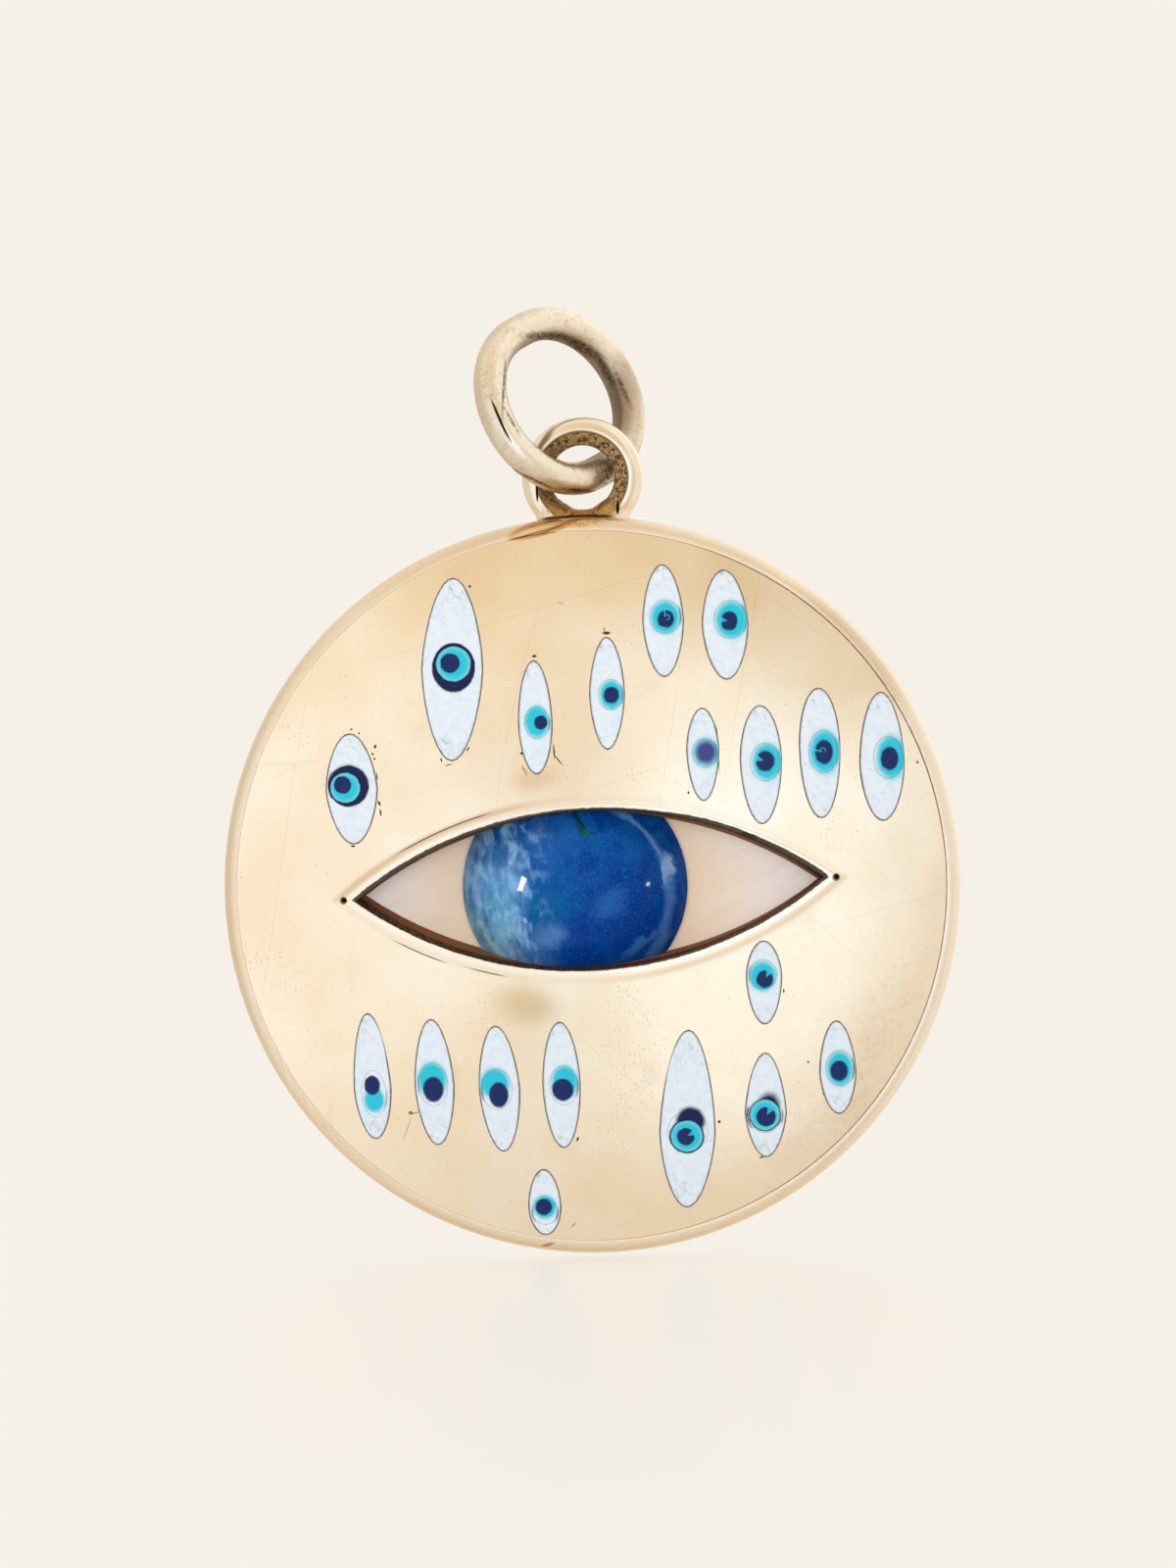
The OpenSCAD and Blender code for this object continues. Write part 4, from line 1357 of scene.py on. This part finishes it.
@dataclass(frozen=True)
class Panel:
    """One bright panel of light, aimed at the disc, with its size in metres.

    Spin turns it about its own aim, in degrees. Where receivers are given, it lights only the
    pieces whose names start with them.
    """

    name: str
    turn: float
    lift: float
    size: tuple[float, float]
    radiance: float
    spin: float = 0.0
    receivers: tuple[str, ...] = ()
    diffuse: bool = True
    glossy: bool = True


def direction(turn: float, lift: float) -> Vector:
    """Give the unit vector from the pendant to a turn from the front and a lift, in degrees."""
    across, up = math.radians(turn), math.radians(lift)
    return Vector((math.sin(across) * math.cos(up), -math.cos(across) * math.cos(up), math.sin(up)))


@dataclass
class Studio:
    """The pale floor, the light tent and the camera."""

    layout: Layout
    backdrop: str = "#F6F1E8"
    tent: str = "#FFFEFA"
    tent_strength: float = 1.03
    glows: tuple[Glow, ...] = (
        Glow(180, 0, 60, 105, "#F1E9DC", 0.95),
        Glow(-90, 0, 20, 50, "#E9E2D6", 0.88),
        Glow(90, 0, 20, 50, "#F2ECE1", 1.0),
        Glow(0, -88, 25, 50, "#D9C7A8", 1.0),
        Glow(0, 52, 20, 41, "#EAD8BB", 1.0),
        Glow(0, -50, 18, 44, "#E7E2D8", 1.0),
        Glow(-21, -2, 6, 16, "#F1F6FF", 1.17),
        Glow(12, -3, 17, 29, "#E5F0FF", 1.44),
        Glow(40, -32, 14, 26, "#D6CAB6", 1.0),
        Glow(46, -5, 14, 22, "#DDD3C2", 1.0),
        Glow(29, 32, 12, 26, "#DCCDB2", 1.0),
        Glow(-6, 9, 3, 9, "#E4DBC8", 1.0),
        Glow(-6, -15, 3, 8, "#E5DECF", 1.0),
        Glow(150, 24, 6, 42, "#FFFDF6", 1.12),
        Glow(-156, -14, 6, 42, "#DCCFB8", 1.0),
        # The floor shows this one, so it has the backdrop's own colour
        Glow(180, 8, 14, 27, "#F6F1E8", 1.0),
    )
    panels: tuple[Panel, ...] = (
        Panel("glint_left", -48.5, 2.0, (0.026, 0.06), 190.0, -24.0, ("iris_stone",), False),
        Panel("glint_left_low", -51.0, -27.0, (0.014, 0.02), 60.0, -12.0, ("iris_stone",), False),
        Panel("glint_right", 67.0, -1.0, (0.022, 0.03), 90.0, 0.0, ("iris_stone",), False),
        Panel("eye_fill", 2.0, 6.0, (0.2, 0.1), 5.1, 0.0, ("eye_white", "iris_stone"), True, False),
        Panel("enamel_fill", 2.0, 6.0, (0.2, 0.1), 1.2, 0.0, ("enamel_",), True, False),
        Panel("soft_key", -38.0, 48.0, (0.16, 0.12), 1.8, glossy=False),
    )
    panel_distance: float = 0.3
    lens: float = 250.0
    sensor: float = 36.0
    camera_turn: float = 2.5
    camera_lift: float = 1.8
    roll: float = 1.449
    frame_height: int = 1600
    # The photograph shows this many metres to one pixel, and the disc's middle here
    pixel: float = 0.04 * MM
    disc_pixel: tuple[float, float] = (604.7, 902.4)
    frame_middle: tuple[float, float] = (600.0, 800.0)
    floor_gap: float = 0.2 * MM
    floor_radius: float = 2.0
    # The floor's shine is fullest this near to the disc's foot and ends this far from it
    gloss_span: tuple[float, float] = (0.004, 0.12)
    floor_gloss: float = 0.3
    floor_roughness: float = 0.3

    def build_world(self) -> None:
        """Make the light tent: even pale cloth with softer and warmer patches."""
        world = bpy.data.worlds.new("light_tent")
        bpy.context.scene.world = world
        world.use_nodes = True
        tree = world.node_tree
        tree.nodes.clear()
        add = partial(add_node, tree)
        ray = add("TexCoord").outputs["Generated"]
        colour: Feed = linear(self.tent, self.tent_strength)
        for glow in self.glows:
            aim = tuple(direction(glow.turn, glow.lift))
            near = add("VectorMath", ray, aim, operation="DOT_PRODUCT")
            ends = (math.cos(math.radians(glow.outer)), math.cos(math.radians(glow.inner)))
            patch = add("MapRange", near, *ends, **SMOOTH)
            colour = add("Mix", patch, colour, linear(glow.colour, glow.strength), data_type="RGBA")
        seen = add("LightPath").outputs["Is Camera Ray"]
        colour = add("Mix", seen, colour, linear(self.backdrop), data_type="RGBA")
        add("OutputWorld", add("Background", colour))

    def build_panels(self) -> None:
        """Hang the panels: the stone's highlights, two soft fills and the key light."""
        for panel in self.panels:
            light = bpy.data.lights.new(panel.name, "AREA")
            light.shape = "RECTANGLE"
            light.size, light.size_y = panel.size
            light.energy = math.pi * panel.size[0] * panel.size[1] * panel.radiance
            lamp = bpy.data.objects.new(panel.name, light)
            bpy.context.scene.collection.objects.link(lamp)
            aim = direction(panel.turn, panel.lift)
            lamp.location = self.layout.disc + aim * self.panel_distance
            spin = Quaternion((0.0, 0.0, 1.0), math.radians(panel.spin))
            lamp.rotation_euler = (aim.to_track_quat("Z", "Y") @ spin).to_euler()
            lamp.visible_camera = False
            lamp.visible_diffuse = panel.diffuse
            lamp.visible_glossy = panel.glossy
            if panel.receivers:
                lit = bpy.data.collections.new(panel.name + "_lights")
                for name, node in frame["nodes"].items():
                    if name.startswith(panel.receivers):
                        lit.objects.link(node)
                lamp.light_linking.receiver_collection = lit
            LOG.info("%s: %.3f W", panel.name, light.energy)

    def build_floor(self) -> None:
        """Lay the pale floor, which shows a faint image of the pendant close to it."""
        mesh = bpy.data.meshes.new("floor")
        form = bmesh.new()
        bmesh.ops.create_circle(form, cap_ends=True, segments=96, radius=self.floor_radius)
        foot = self.layout.disc - Vector((0.0, 0.0, self.layout.radius + self.floor_gap))
        bmesh.ops.translate(form, verts=form.verts, vec=foot)
        form.to_mesh(mesh)
        form.free()
        floor = bpy.data.objects.new("floor", mesh)
        bpy.context.scene.collection.objects.link(floor)
        material = bpy.data.materials.new("pale_studio_floor")
        material.use_nodes = True
        tree = material.node_tree
        tree.nodes.clear()
        add = partial(add_node, tree)
        here = add("TexCoord").outputs["Object"]
        away = add("VectorMath", here, tuple(foot), operation="DISTANCE")
        share = add("MapRange", away, *self.gloss_span, self.floor_gloss, 0.0)
        plain = add("Emission", linear(self.backdrop))
        gloss = add("BsdfGlossy", linear("#FFFFFF"), self.floor_roughness)
        top = add("MixShader", share, plain, gloss)
        below = add("NewGeometry").outputs["Backfacing"]
        add("OutputMaterial", add("MixShader", below, top, add("BsdfTransparent")))
        mesh.materials.append(material)
        floor.visible_glossy = False
        floor.visible_diffuse = False
        floor.visible_shadow = False
        LOG.info("floor: %.4f m below the origin", -foot.z)

    def build_camera(self) -> None:
        """Stand the camera where the photograph was taken from."""
        data = bpy.data.cameras.new("camera")
        data.lens = self.lens
        data.sensor_width = self.sensor
        camera = bpy.data.objects.new("camera", data)
        bpy.context.scene.collection.objects.link(camera)
        back = direction(self.camera_turn, self.camera_lift)
        turn = math.radians(self.camera_turn)
        right = Vector((math.cos(turn), math.sin(turn), 0.0))
        up = back.cross(right)
        roll = math.radians(self.roll)
        rolled_up = up * math.cos(roll) + right * math.sin(roll)
        rolled_right = right * math.cos(roll) - up * math.sin(roll)
        distance = self.frame_height * self.pixel * self.lens / self.sensor
        off_right = (self.disc_pixel[0] - self.frame_middle[0]) * self.pixel
        off_down = (self.disc_pixel[1] - self.frame_middle[1]) * self.pixel
        place = self.layout.disc + back * distance - rolled_right * off_right + rolled_up * off_down
        axes = Matrix((rolled_right, rolled_up, back)).transposed()
        camera.matrix_world = Matrix.Translation(place) @ axes.to_4x4()
        data.clip_start = distance / 20
        data.clip_end = distance * 20
        bpy.context.scene.camera = camera
        LOG.info("camera: %.3f m away", distance)

    def build(self) -> None:
        """Set up the whole studio."""
        bpy.context.scene.view_settings.view_transform = "Standard"
        self.build_camera()
        self.build_world()
        self.build_panels()
        self.build_floor()


def main() -> None:
    """Dress the pendant and set up the studio."""
    logging.basicConfig(level=logging.INFO, format="%(message)s")
    layout = Layout.from_frame(frame)
    for part in (GoldCase(layout), JumpRing(layout), GreatEye(layout), SmallEyes(layout), Studio(layout)):
        LOG.info("%s", type(part).__name__)
        part.build()


if __name__ == "__main__":
    main()
